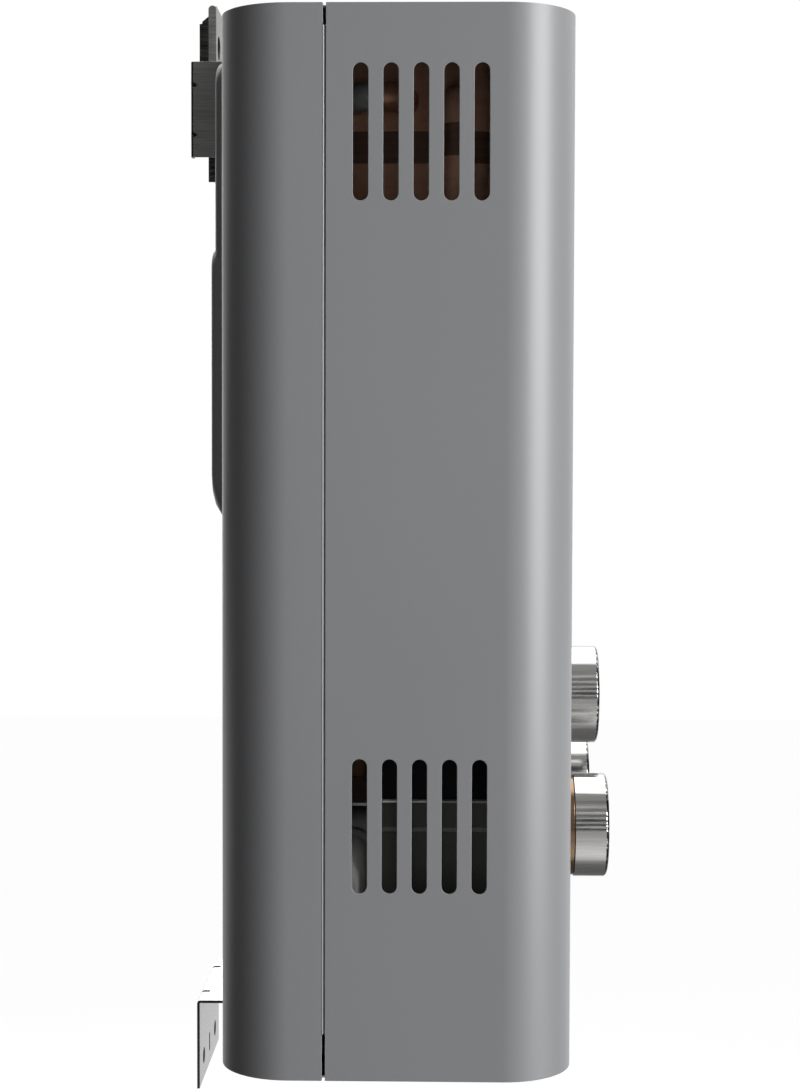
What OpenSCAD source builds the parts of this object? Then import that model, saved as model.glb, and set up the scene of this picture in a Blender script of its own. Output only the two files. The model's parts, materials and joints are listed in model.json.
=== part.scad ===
// Wall-hung, flueless instant gas water heater with two stand-off wall brackets.
// Millimetres, +Z up, +X to the right of someone who faces the heater, front towards -Y.
// The origin lies on the wall plane, midway between the two hanging holes.
// Depths are counted forwards from the casing's back, heights up from its underside.

/* [Casing] */
// Width of the casing
body_w = 290; // [270:5:340]
// Depth of the casing, without knobs
body_d = 144; // [140:1:170]
// Height of the casing
body_h = 430; // [425:5:460]
// Radius of the four upright edges
corner_r = 28.5; // [20:0.5:32]
// Thickness of the casing sheet
sheet = 1; // [0.8:0.1:1.2]
// Depth at which the front cover meets the rear casing
seam_d = 43.4; // [41:0.1:46]
// Width of that joint
seam_gap = 1.2; // [0.8:0.1:2]
// Width of the flanges that turn in at top and bottom
rim_w = 12; // [8:1:14]
// Play between the lip of the rear casing and the front cover
lip_play = 0.3; // [0.2:0.1:0.5]
// Height at which the lip starts
lip_low = 18.8; // [10:0.1:30]
// Clear length from the end of the lip to the casing's top
lip_top_margin = 8.7; // [6:0.1:20]
// How far the lip reaches under the cover
lip_reach = 8; // [5:0.5:10]
// Width of the lip's hem, and how far it lies below the casing's outside
hem = [0.6, 0.2]; // [0.1:0.1:1]

/* [Back bulges] */
// Half width of the bulges' flat crown
bulge_half = 85; // [80:1:95]
// Height of the upper bulge over the back
bulge_up_h = 6.3; // [4:0.1:8]
// Drops from the casing's top to the lower and upper edge of the upper bulge's crown
bulge_up_drop = [100, 15.8]; // [10:0.1:130]
// Height of the lower bulge over the back
bulge_low_h = 8; // [7:0.1:10]
// Drops from the casing's top to the lower and upper edge of the lower bulge's crown
bulge_low_drop = [191, 93.5]; // [85:0.5:230]
// Run of the bulges' sloping flanks
bulge_flank = 5.5; // [4:0.5:10]
// Run of the lower bulge's lower flank
bulge_tail = 15; // [10:0.5:20]
// Corner radius of the crowns
bulge_r = 6; // [5:0.5:12]

/* [Side slots] */
// Slots in a group
slot_count = 5; // [3:1:6]
// Width of a slot
slot_w = 6; // [4:0.5:8]
// Distance from slot to slot
slot_pitch = 12; // [10:0.5:14]
// Length of a slot
slot_len = 54; // [40:1:60]
// Depth of the first slot's middle
slot_first_d = 57.7; // [55:0.1:62]
// Height of the lower group's middle
slot_low_z = 103.2; // [80:0.1:120]
// Drop from the casing's top to the upper group's middle
slot_up_drop = 50.7; // [45:0.1:70]

/* [Exhaust grille and bottom] */
// Rows of exhaust slots from side to side
vent_count = 14; // [8:1:16]
// Width of an exhaust slot
vent_w = 5; // [3:0.5:7]
// Distance between exhaust slots
vent_pitch = 11; // [9:0.5:13]
// Length of an exhaust slot
vent_len = 30; // [20:1:34]
// Bridge between the two rows of exhaust slots
vent_bridge = 8; // [5:0.5:12]
// Intake slots in the bottom plate, each side
intake_count = 8; // [4:1:10]
// Length of an intake slot
intake_len = 28; // [15:1:30]
// Width of an intake slot
intake_w = 3.5; // [3:0.1:3.9]
// Distance between intake slots
intake_pitch = 7; // [6:0.5:8]
// Distance of the first intake slot from the casing's side
intake_inset = 24; // [22:1:30]
// Distance of the intake slots' middle from the casing's front
intake_back = 36; // [32:1:40]

/* [Brackets] */
// Distance between the casing's back and the wall
wall_gap = 20; // [18:0.5:30]
// Thickness of the bracket sheet
strap_t = 1.2; // [1:0.1:2]
// Outer bend radius of the bracket sheet
bend_r = 1.5; // [1.4:0.1:3]
// Height of the hanging holes over the casing's top
hang_rise = 7; // [5:0.5:9]
// Distance between the hanging holes
hang_pitch = 28; // [22:1:32]
// Radius of the wall screw holes
screw_hole_r = 3.5; // [2.5:0.1:4]
// Width of the upper wall bracket
yoke_w = 116; // [100:1:140]
// Drops from the casing's top to the upper wall bracket's underside and top
yoke_drop = [48, 6.5]; // [0:0.5:55]
// Width of the feet that hold the bracket to the bulge
yoke_foot = 12; // [8:1:16]
// Width of the tongue and of the hanger strip
strip_w = 50; // [44:1:60]
// Height of the tongue's rear edge over the casing's top
tongue_up = 16.7; // [14:0.1:20]
// Rise of the tongue's flanges towards the front
tongue_rise = 3.3; // [0:0.1:5]
// Depth of the tongue's flanges
tongue_fold = 4; // [3:0.5:6]
// Reach of the hanger strip below and above the casing's top
strip_reach = [54.4, 25]; // [20:0.1:60]
// Depth of the hanger strip's folded edges
strip_fold = 3.7; // [3:0.1:5]
// Radius of the screwdriver holes in the hanger strip
driver_r = 6; // [5:0.5:7]
// Radius of the stand-off rivets
rivet_r = 4; // [3:0.5:5]
// Distance of the rivets from the middle
rivet_x = 12; // [8:1:16]
// Distances of the dents from the upper bracket's underside and top
yoke_dent = [9.7, 10.2]; // [8:0.1:14]
// Width of the lower wall bracket
foot_w = 80; // [70:1:110]
// Height of the upper face of the lower bracket's shelf
foot_z = 4.5; // [3:0.1:8]
// Drop of the lower bracket's wall flange
foot_drop = 40.5; // [36:0.5:60]
// Height of the lower bracket's casing flange
foot_up = 18; // [14:1:24]
// Distance between the lower fixing holes
foot_pitch = 46; // [40:1:56]
// Drop from the shelf to the lower fixing holes
foot_hole_drop = 30; // [25:0.5:31]
// Width and length of the slot between the fixing holes
foot_slot = [3, 8]; // [2:0.5:10]
// Height, and distance from the bracket's sides, of the notch in the upper bracket's lower edge
yoke_notch = [11, 5]; // [4:0.5:14]
// Radius of the stiffening dents across the bends
dent_r = 0.7; // [0.5:0.1:1]
// Length of the stiffening dents
dent_len = 6; // [4:0.5:7]
// Radius at the inner end of a dent
dent_tip = 0.3; // [0.2:0.1:0.5]
// Angle between a dent and the flange that it runs along
dent_tilt = 25; // [20:1:45]

/* [Knobs] */
// Radius of a knob
knob_r = 22.5; // [20:0.5:24]
// Depth of a knob's front face over the casing's front
knob_out = 18.9; // [17:0.1:24]
// Height of the base ring's front over the casing's front
ring_out = 4.5; // [3.5:0.1:7]
// Radius of the base ring
ring_r = 22; // [19:0.5:24]
// Running gap between the base ring and the cover
knob_play = 0.4; // [0.3:0.1:0.8]
// Radius of the rounded front edge of a knob
knob_round = 1.2; // [0.8:0.1:3]
// Depth of the dished face of a knob
knob_dish = 0.6; // [0.3:0.1:1]
// Distance between the two lower knobs
knob_pitch = 120; // [116:1:130]
// Height of the lower knobs
knob_low_z = 89.7; // [88:0.1:95]
// Rise from the lower knobs to the middle one
knob_rise = 50.8; // [49:0.1:60]
// Width and length of the pointer groove in a knob's face
pointer = [1.6, 7]; // [1:0.1:9]
// Width of the base ring
ring_w = 5; // [4:0.5:8]
// Radius of a spindle
spindle_r = 4; // [3:0.5:5]
// Length of a spindle inside its valve
spindle_in = 20; // [15:1:24]
// Length of a spindle inside its knob
spindle_grip = 8; // [6:1:10]
// Radial play of a spindle in its valve
spindle_play = 0.05; // [0.03:0.01:0.08]
// Radius of the spindle holes in the cover
spindle_hole_r = 7; // [6:0.5:9]

/* [Sight window] */
// Radius of the window's round ends
window_r = 9; // [7:0.5:12]
// Distance between the middles of the round ends
window_span = 32; // [20:1:60]
// Drop from the casing's top to the window's middle
window_drop = 168; // [150:1:180]
// Play of the pane in its opening
window_play = 0.2; // [0.1:0.05:0.3]
// Width of the pane's hidden edge
window_edge = 4; // [3:0.5:6]
// Thickness of the pane behind the cover
window_t = 2; // [1.5:0.5:3]

/* [Heat exchanger] */
// Width of the exchanger and chamber
core_w = 160; // [150:2:166]
// Depth of the exchanger and chamber
core_d = 76; // [74:1:78]
// Depth of the chamber's back wall
core_back = 36; // [35:0.5:37]
// Height of the combustion chamber
chamber_h = 96; // [90:1:100]
// Height of the fin block
fin_h = 34; // [30:1:38]
// Height of the flue hood over the fin block
hood_h = 8; // [7:1:12]
// Width of the flue hood's flange
hood_flange = 5; // [4:0.5:8]
// Thickness of a fin
fin_t = 0.6; // [0.4:0.1:0.8]
// Distance between fins
fin_pitch = 4.6; // [4:0.1:6]
// Gap between the fins and the fin block's edges
fin_inset = 3; // [2:0.5:5]
// Radius of the water tubes
tube_r = 6; // [5:0.1:6.4]
// Distance between the tubes in the fin block
tube_pitch = 22; // [20:0.5:24]
// Height of those tubes over the fin block's lower edge
tube_rise = 16; // [14:0.5:18]
// Length of the tube ends beyond the block
tube_stub = 2; // [1:0.5:3]
// Play between the coil and the chamber wall
coil_play = 0.2; // [0.1:0.1:0.5]
// Height of the coil's lower turn over the chamber's edge
coil_low = 10; // [8:1:14]
// Rise from turn to turn
coil_rise = 30; // [26:1:34]
// Radius of the pipes' bends
pipe_bend = 12; // [10:0.5:12.5]
// Distance of the last riser from the middle
riser_x = 98; // [96:1:104]
// Distance of the hot pipe from the middle
hot_x = 104; // [100:1:112]
// Half width of the chamber's stay
stay_half = 60; // [40:2:70]
// Height of the chamber's stay
stay_h = 22; // [16:1:30]
// Rise of the stay over the lower edge of the upper bulge
stay_rise = 22; // [10:1:30]
// Width of the stay's tabs
stay_tab = 12; // [8:1:16]

/* [Burner] */
// Height of the burner rack
rack_h = 58; // [56:1:62]
// Width of a rail in the rack
rail_w = 5; // [4:0.5:8]
// Width and height of the air windows in the rack's sides
rack_window = [14, 24]; // [10:1:30]
// Number of burner bars
burner_count = 6; // [4:1:6]
// Distance between burner bars
burner_pitch = 24; // [20:0.5:25]
// Thickness of a burner bar
burner_t = 8; // [6:0.5:10]
// Height of a burner bar
burner_h = 38; // [34:1:42]
// Width of the bars' port head
port_head = 11; // [9:0.5:13]
// Height of the bars' port head
port_head_h = 6; // [5:0.5:8]
// Distance between the port slits
port_pitch = 5; // [4:0.5:8]
// Width of a port slit
port_w = 1.2; // [0.8:0.1:2]
// Depth of a port slit
port_cut = 4; // [2:0.5:5]
// Height of the gap between a bar's mixing tube and its port head
throat_gap = 9; // [6:0.5:12]
// Distance between the gas manifold's middle and the rack
manifold_gap = 8; // [7.5:0.5:10]
// Radius of the gas manifold
manifold_r = 7; // [6:0.5:7.5]
// Height of the gas manifold over the rack's lower edge
manifold_rise = 12; // [10:0.5:13]
// Width of the manifold's end brackets
manifold_foot = 8; // [6:1:10]
// Radius of a gas jet
jet_r = 3.2; // [2.5:0.1:3.6]
// Wall of a jet's boss
jet_wall = 1.8; // [1.5:0.1:2.5]

/* [Valves and fittings] */
// Gap between the valves' front faces and the cover
valve_gap = 9; // [7:0.5:12]
// Length of a valve barrel
valve_len = 48; // [44:1:50]
// Length of the selector valve
selector_len = 42; // [38:1:46]
// Radius of the valves' bosses
boss_r = 9; // [8:0.5:10]
// Radius of the gas valve
gas_valve_r = 22; // [20:0.5:24]
// Radius of the gas valve's rear part
gas_tail_r = 14; // [12:0.5:14]
// Radius of the selector valve
selector_r = 20; // [18:0.5:21]
// Radius of the water valve
water_valve_r = 18; // [16:0.5:20]
// Radius of the diaphragm housing
diaphragm_r = 30; // [26:0.5:30]
// Distance of the pushrod behind the valves' front faces
rod_back = 29; // [27:0.5:32]
// Radius of the pushrod
rod_r = 2.5; // [2:0.1:3]
// Stroke of the pushrod
rod_stroke = 3; // [2:0.5:4]
// Radius of the pipe thread, plain
thread_r = 10.45; // [9.5:0.05:11]
// Length of the threaded ends under the casing
thread_len = 11.5; // [10:0.5:14]
// Width across the corners of the hexagons
hex_r = 15.5; // [13:0.5:16]
// Place of the gas, hot and cold fittings from side to side
port_x = [-92, -16, 60]; // [-100:1:100]
// Radius of the gas pipe
gas_pipe_r = 7; // [6:0.5:8]
// Height of the gas pipe's bend
gas_pipe_z = 81; // [78:0.5:82]
// Length and height of the micro switch
switch_size = [28, 13]; // [10:1:32]
// Length of the solenoid
solenoid_len = 29; // [24:1:30]
// Height of the valve shelf
shelf_z = 104; // [103.9:0.1:106]
// Height of the valve shelf's flange
shelf_flange = 14; // [10:1:20]
// Half width of the valve shelf
shelf_half = 100; // [98:1:110]
// Width and depth of the igniter box
igniter_size = [24, 56]; // [20:1:60]
// Heights of the igniter box's underside, of its lid's seam and of its top
igniter_z = [24, 107.4, 126]; // [20:0.1:130]
// How far the lid stands back from the box's outer side
igniter_step = 3; // [1:0.5:5]
// Height of the rib along the igniter box
igniter_rib = 94.3; // [90:0.1:100]
// Gap between the igniter box and the valve and shelf that carry it
igniter_gap = 0.3; // [0.2:0.1:0.5]
// Radius of the electrodes' ceramic bodies
ceramic_r = 3.5; // [3:0.5:4]
// Radius of an electrode's wire
wire_r = 1; // [0.8:0.1:1.2]
// Reach of the spark electrode and of the flame probe behind the chamber's front
electrode_reach = [34, 46]; // [20:1:60]
// Radius of the thermal cutout
cutout_r = 8; // [6:0.5:10]

/* [Battery box] */
// Left and right outside of the box
box_x = [-44, 32]; // [-60:1:40]
// Depth of the box's back
box_back = 70; // [68:0.5:76]
// Gap between the box and the casing's front
box_gap = 12.5; // [12.5:0.5:20]
// Width of the ledge round the battery door
door_ledge = 6; // [5:0.5:8]
// Height of the box
box_h = 40; // [36:1:42]
// Wall of the box
box_t = 2; // [1.5:0.1:2.5]
// Thickness of the lid
lid_t = 2; // [1.5:0.1:3]
// Play round the lid
lid_play = 0.3; // [0.2:0.1:0.6]
// Radius of the lid's hinge pin
hinge_pin_r = 1; // [0.8:0.1:1.2]
// Radial play of that pin
hinge_play = 0.05; // [0.03:0.01:0.08]
// Radius of the hinge barrel
barrel_r = 2; // [1.8:0.1:2.4]
// Length of the hinge barrel
barrel_len = 30; // [20:1:40]
// Width of a hinge ear
ear_w = 5; // [4:0.5:6]
// Width of the lid's finger ridge
ridge_w = 18; // [12:1:30]

/* [Hidden] */
$fn = 48;

cut = 1;
cover_d = seam_d + seam_gap / 2;
rear_d = seam_d - seam_gap / 2;
roof_z = body_h - 2 * sheet;
floor_z = 2 * sheet;
inner_d = body_d - sheet;

hang_z = body_h + hang_rise;
bulge_up_z = [body_h - bulge_up_drop[0], body_h - bulge_up_drop[1]];
bulge_low_z = [body_h - bulge_low_drop[0], body_h - bulge_low_drop[1]];
slot_up_z = body_h - slot_up_drop;
yoke_z = [body_h - yoke_drop[0], body_h - yoke_drop[1]];
tongue_z = body_h + tongue_up;
strip_z = [body_h - strip_reach[0], body_h + strip_reach[1]];
window_z = body_h - window_drop;
dent_seat = 0.45;
dent_lift = 0.6;

knob_low_x = knob_pitch / 2;
knob_up_z = knob_low_z + knob_rise;
knob_front = body_d + knob_out;
ring_front = body_d + ring_out;
valve_front = inner_d - valve_gap;
spindle_back = valve_front - spindle_in;
spindle_front = ring_front + spindle_grip;
spindle_fit = 0.03;
bore_back = spindle_back - 2;

core_half = core_w / 2;
core_front = core_back + core_d;
core_mid = core_back + core_d / 2;
fin_z = roof_z - hood_h - fin_h;
chamber_z = fin_z - chamber_h;
rack_z = chamber_z - rack_h;
tube_z = fin_z + tube_rise;
coil_z = chamber_z + coil_low;
port_d = core_mid - tube_pitch;
coil_x = core_half + tube_r + coil_play;
coil_back = core_back - tube_r - coil_play;
coil_front = core_front + tube_r + coil_play;
coil_up_z = coil_z + coil_rise;

rail_t = 2;
rail_z = rack_z + 2 * rail_t;
bar_z = rail_z + rail_t;
jet_hole_r = jet_r + 1.3;
jet_seat = 0.5;
manifold_d = core_front + manifold_gap;
manifold_z = rack_z + manifold_rise;
manifold_half = (burner_count - 1) * burner_pitch / 2 + manifold_r + 5;
manifold_foot_z = manifold_z - manifold_r - 6;
selector_z = knob_up_z;
nut_h = 10;
nut_r = tube_r + 4.5;
joint_h = 12;
pipe_joint_z = rack_z - joint_h;
cold_bend_z = knob_low_z + 50.3;
hot_bend_z = cold_bend_z + joint_h;
feed_bend_z = 44;
water_foot_z = feed_bend_z + 22;
spigot_z = 14;
spigot_r = tube_r + 3;
electrode_z = chamber_z + 6;
electrode_fit = 0.1;
gas_port_x = port_x[0];
hot_port_x = port_x[1];
cold_port_x = port_x[2];

barrel_back = valve_front - valve_len;
neck_len = 6;
rod_d = valve_front - rod_back;
feed_d = barrel_back + 10;
tail_back = port_d - gas_pipe_r - 4;
plug = 6;
switch_rise = 10.3;
boss_x = gas_valve_r + 4 - knob_low_x;
rod_seat_x = boss_x - 20;
rod_bore_r = rod_r + spindle_play;
collar_t = 2;
collar_x = boss_x + 9.5;
disc_t = 10;
housing_x = knob_low_x - 26 - disc_t;
housing_step = 6;
guide_len = 8;
hex_low = 1;
hex_up = 7;
inlet_bore = 20;
port_fit = 0.15;
selector_neck = 5.5;
water_top_z = knob_low_z + water_valve_r + 4;
guide_x = housing_x - 2 * housing_step - guide_len;
collar_r = rod_r + 3.5;
shelf_front = port_d + tube_r + 6;
bar_gap = 7;
port_half = port_head / 2 - 1.5;
mixing_r = 3;
jet_body = 4;
jet_tip = 2;
jet_tip_r = 1.2;
lid_inset = 1;
ridge_h = 1;

box_d = [box_back, body_d - box_gap];
door_back = 7;
hinge_x = (box_x[0] + box_x[1]) / 2;
hinge_d = box_d[0] - 1;
hinge_z = sheet - lid_play - barrel_r;

steel_paint = [0.49, 0.49, 0.50];
zinc = [0.72, 0.73, 0.74];
copper = [0.70, 0.42, 0.28];
brass = [0.78, 0.62, 0.34];
cast_alloy = [0.62, 0.63, 0.64];
brushed = [0.76, 0.76, 0.77];
rose_gold = [0.80, 0.52, 0.40];
dark_plastic = [0.12, 0.12, 0.13];

// Puts a piece that is drawn from the casing's back and underside into the wall's frame.
module on_wall() {
    translate([0, -wall_gap, -hang_z]) children();
}

// A block between two sides, two depths and two heights.
module block(x, d, z) {
    translate([x[0], -d[1], z[0]]) cube([x[1] - x[0], d[1] - d[0], z[1] - z[0]]);
}

// A round bar that runs from back to front.
module rod_y(x, z, d, r) {
    translate([x, -d[1], z]) rotate([-90, 0, 0]) cylinder(h = d[1] - d[0], r = r);
}

// A round bar that runs from side to side.
module rod_x(d, z, x, r) {
    translate([x[0], -d, z]) rotate([0, 90, 0]) cylinder(h = x[1] - x[0], r = r);
}

// An upright round bar.
module rod_z(x, d, z, r) {
    translate([x, -d, z[0]]) cylinder(h = z[1] - z[0], r = r);
}

// Extrudes a profile drawn in x and height from one depth to the next.
module front_extrude(d) {
    translate([0, -d[0], 0]) rotate([90, 0, 0]) linear_extrude(d[1] - d[0]) children();
}

// Extrudes a profile drawn in -depth and height from one side to the other.
module side_extrude(x) {
    translate([x[0], 0, 0]) rotate([90, 0, 90]) linear_extrude(x[1] - x[0]) children();
}

// A rectangle with round corners, between two corners.
module round_rect(a, b, r) {
    translate([a[0], a[1] + r]) square([b[0] - a[0], b[1] - a[1] - 2 * r]);
    translate([a[0] + r, a[1]]) square([b[0] - a[0] - 2 * r, b[1] - a[1]]);
    for (x = [a[0] + r, b[0] - r], y = [a[1] + r, b[1] - r]) translate([x, y]) circle(r);
}

// A slot with round ends: its middle, width and length, upright.
module slot(middle, w, len) {
    translate([middle[0] - w / 2, middle[1] - len / 2 + w / 2]) square([w, len - w]);
    for (s = [-1, 1]) translate([middle[0], middle[1] + s * (len - w) / 2]) circle(w / 2);
}

function unit(v) = v / norm(v);

// A quarter bend at corner p, from direction u into direction v.
module elbow(p, u, v, r, bend) {
    w = cross(u, v);
    c = p - bend * u + bend * v;
    multmatrix([
        [-v[0], u[0], w[0], c[0]],
        [-v[1], u[1], w[1], c[1]],
        [-v[2], u[2], w[2], c[2]],
        [0, 0, 0, 1]
    ]) rotate_extrude(angle = 90) translate([bend, 0]) circle(r);
}

// A straight length of pipe along one of the three axes.
module straight(a, b, r) {
    v = unit(b - a);
    turn = abs(v[0]) > 0.5 ? [0, 90 * v[0], 0]
        : abs(v[1]) > 0.5 ? [-90 * v[1], 0, 0]
        : [v[2] > 0 ? 0 : 180, 0, 0];
    translate(a) rotate(turn) cylinder(h = norm(b - a), r = r);
}

// A pipe through points given as [x, depth, height], with square corners rounded off.
module pipe(path, r, bend) {
    pts = [for (q = path) [q[0], -q[1], q[2]]];
    last = len(pts) - 1;
    for (i = [0 : last - 1]) {
        v = unit(pts[i + 1] - pts[i]);
        a = i == 0 ? pts[i] : pts[i] + bend * v;
        b = i == last - 1 ? pts[i + 1] : pts[i + 1] - bend * v;
        if (norm(b - a) > 0.01) straight(a, b, r);
        if (i > 0) elbow(pts[i], unit(pts[i] - pts[i - 1]), v, r, bend);
    }
}

// The casing's outline seen from above, drawn in by an inset.
module plan(inset) {
    r = corner_r - inset;
    translate([0, -body_d / 2]) {
        round_rect([-body_w / 2 + inset, -body_d / 2 + inset], [body_w / 2 - inset, body_d / 2 - inset], r);
    }
}

// A band of the casing's outline between two insets and two depths.
module plan_band(outer, inner, d) {
    intersection() {
        difference() {
            plan(outer);
            plan(inner);
        }
        translate([-body_w, -d[1]]) square([2 * body_w, d[1] - d[0]]);
    }
}

// The pressed bulge on the back: a round-cornered crown with quarter-round flanks.
// Each step is a share of the height with the share of the flank that it still stands out.
module bulge(z, h, tail, inset) {
    steps = [[0, 1], [0.5, 0.87], [0.8, 0.6], [0.95, 0.31], [1, 0]];
    skin = 0.2;
    hull() for (s = steps, x = [-1, 1], q = [z[0] + bulge_r - s[1] * (tail - bulge_flank), z[1] - bulge_r]) {
        translate([x * (bulge_half - bulge_r), s[0] * h - inset - skin, q]) rotate([-90, 0, 0])
            cylinder(h = skin, r = bulge_r + s[1] * bulge_flank - inset, $fn = 32);
    }
}

// The flanges that turn in at top and bottom, between two depths.
module rims(d) {
    for (z = [0, body_h - sheet]) translate([0, 0, z]) linear_extrude(sheet) {
        plan_band(sheet, sheet + rim_w, d);
    }
}

module rear_casing() {
    lip_z = [lip_low, body_h - lip_top_margin];
    color(steel_paint) on_wall() difference() {
        union() {
            linear_extrude(body_h) plan_band(0, sheet, [-cut, rear_d]);
            rims([-cut, rear_d]);
            translate([0, 0, lip_z[0]]) linear_extrude(lip_z[1] - lip_z[0]) {
                plan_band(sheet, 2 * sheet + lip_play, [rear_d - 5, rear_d]);
                plan_band(hem[1], 2 * sheet + lip_play, [rear_d - cut, rear_d + hem[0]]);
                plan_band(sheet + lip_play, 2 * sheet + lip_play, [rear_d - cut, rear_d + lip_reach]);
            }
            bulge(bulge_up_z, bulge_up_h, bulge_flank, 0);
            bulge(bulge_low_z, bulge_low_h, bulge_tail, 0);
        }
        bulge(bulge_up_z, bulge_up_h, bulge_flank, sheet);
        bulge(bulge_low_z, bulge_low_h, bulge_tail, sheet);
    }
}

module front_cover() {
    color(steel_paint) on_wall() difference() {
        union() {
            linear_extrude(body_h) plan_band(0, sheet, [cover_d, body_d + cut]);
            rims([cover_d, body_d + cut]);
        }
        side_extrude([-body_w / 2 - cut, body_w / 2 + cut]) {
            for (i = [0 : slot_count - 1], z = [slot_low_z, slot_up_z]) {
                slot([-(slot_first_d + i * slot_pitch), z], slot_w, slot_len);
            }
        }
        for (s = [[-knob_low_x, knob_low_z], [knob_low_x, knob_low_z], [0, knob_up_z]]) {
            rod_y(s[0], s[1], [inner_d - cut, body_d + cut], spindle_hole_r);
        }
        front_extrude([inner_d - cut, body_d + cut]) window_outline(window_r);
    }
}

module window_outline(r) {
    translate([0, window_z]) {
        translate([-window_span / 2, -r]) square([window_span, 2 * r]);
        for (s = [-1, 1]) translate([s * window_span / 2, 0]) circle(r);
    }
}

module sight_window() {
    color([0.10, 0.11, 0.12]) on_wall() {
        front_extrude([inner_d, body_d]) window_outline(window_r - window_play);
        front_extrude([inner_d - window_t, inner_d]) window_outline(window_r + window_edge);
    }
}

module top_grille() {
    color(steel_paint) on_wall() translate([0, 0, roof_z]) linear_extrude(sheet) difference() {
        plan(sheet + lip_play);
        for (i = [0 : vent_count - 1], s = [-1, 1]) {
            x = (i - (vent_count - 1) / 2) * vent_pitch;
            slot([x, -core_mid + s * (vent_len + vent_bridge) / 2], vent_w, vent_len);
        }
    }
}

module bottom_plate() {
    color(zinc) on_wall() translate([0, 0, sheet]) linear_extrude(sheet) difference() {
        plan(sheet + lip_play);
        for (x = port_x) translate([x, -port_d]) circle(thread_r + port_fit);
        translate([box_x[0] + door_ledge, door_ledge - box_d[1]]) {
            square([box_x[1] - box_x[0] - 2 * door_ledge, box_d[1] - box_d[0] - door_ledge - door_back]);
        }
        for (i = [0 : intake_count - 1], s = [-1, 1]) {
            x = s * (body_w / 2 - intake_inset - i * intake_pitch);
            slot([x, intake_back - body_d], intake_w, intake_len);
        }
    }
}

// A stiffening dent across a bend: a cone that runs inwards from just outside the corner.
module dent(p, turn, r, tip) {
    translate(p) rotate(turn) cylinder(h = dent_len + tip - dent_tip, r1 = r, r2 = tip);
}

// The upper wall bracket: a channel with feet on the bulge and a tongue over the casing's top.
module wall_bracket() {
    half = yoke_w / 2;
    back = wall_gap;
    tongue_half = strip_w / 2;
    dent_z = [yoke_z[0] + yoke_dent[0], yoke_z[1] - yoke_dent[1]];
    color(zinc) on_wall() difference() {
        union() {
            translate([0, 0, yoke_z[0]]) linear_extrude(yoke_z[1] - yoke_z[0]) {
                translate([-half + bend_r, back - strap_t]) square([yoke_w - 2 * bend_r, strap_t]);
                for (s = [-1, 1]) mirror([s < 0 ? 1 : 0, 0]) {
                    translate([half - strap_t, bulge_up_h]) square([strap_t, back - bulge_up_h - bend_r]);
                    translate([half - yoke_foot, bulge_up_h]) square([yoke_foot, strap_t]);
                    intersection() {
                        translate([half - bend_r, back - bend_r]) difference() {
                            circle(bend_r);
                            circle(bend_r - strap_t);
                        }
                        translate([half - bend_r, back - bend_r]) square(bend_r);
                    }
                }
            }
            intersection() {
                yoke_dents(dent_z, dent_r + dent_lift + strap_t, strap_t);
                block(
                    [dent_seat - half, half - dent_seat], [dent_seat - back, 2 * dent_len - back],
                    [yoke_z[0], yoke_z[1]]
                );
            }
            front_extrude([-back, -back + strap_t]) difference() {
                translate([-tongue_half, yoke_z[1] - cut]) square([strip_w, tongue_z - yoke_z[1] + cut]);
                for (s = [-1, 1]) translate([s * hang_pitch / 2, hang_z]) circle(screw_hole_r);
            }
            for (x = [-tongue_half, tongue_half - strap_t]) side_extrude([x, x + strap_t]) {
                polygon([
                    [back - tongue_fold, yoke_z[1] - cut], [back - strap_t, yoke_z[1] - cut],
                    [back - strap_t, tongue_z + tongue_rise * strap_t / tongue_fold],
                    [back - tongue_fold, tongue_z + tongue_rise]
                ]);
            }
            for (x = [-tongue_half, tongue_half - strap_t]) {
                block([x, x + strap_t], [-back + strap_t, -back + tongue_fold], [yoke_z[0], yoke_z[1]]);
            }
        }
        yoke_dents(dent_z, dent_r + dent_lift, dent_tip);
        block(
            [yoke_notch[1] - half, half - yoke_notch[1]], [-back - cut, tongue_fold + cut - back],
            [yoke_z[0] - cut, yoke_z[0] + yoke_notch[0]]
        );
    }
}

module yoke_dents(heights, r, tip) {
    for (s = [-1, 1], z = heights) {
        dent([s * (yoke_w / 2 + dent_lift), wall_gap + dent_lift, z], [90, 0, -s * dent_tilt], r, tip);
    }
}

// The hanger strip: a shallow channel riveted to the bulge, with round ends on its folds.
module hanger_strip() {
    half = strip_w / 2;
    rear = wall_gap - tongue_fold;
    front = rear - strip_fold;
    end_r = strip_fold / 2;
    end_z = strip_z[1] - end_r;
    color(zinc) on_wall() {
        difference() {
            front_extrude([-front - strap_t, -front]) {
                translate([-half, strip_z[0]]) square([strip_w, end_z - strip_z[0]]);
                translate([end_r - half, end_z]) square([strip_w - strip_fold, end_r]);
            }
            for (s = [-1, 1]) rod_y(s * hang_pitch / 2, hang_z, [-rear - cut, -front + cut], driver_r);
        }
        for (x = [-half, half - strap_t]) side_extrude([x, x + strap_t]) {
            difference() {
                union() {
                    translate([front, strip_z[0]]) square([strip_fold, end_z - strip_z[0]]);
                    translate([front + end_r, end_z]) circle(end_r);
                }
                translate([front - cut, strip_z[0] - cut]) square([cut, strip_z[1]]);
            }
        }
        for (x = [-rivet_x, rivet_x]) rod_y(x, (yoke_z[0] + yoke_z[1]) / 2, [-front, -bulge_up_h], rivet_r);
    }
}

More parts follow.
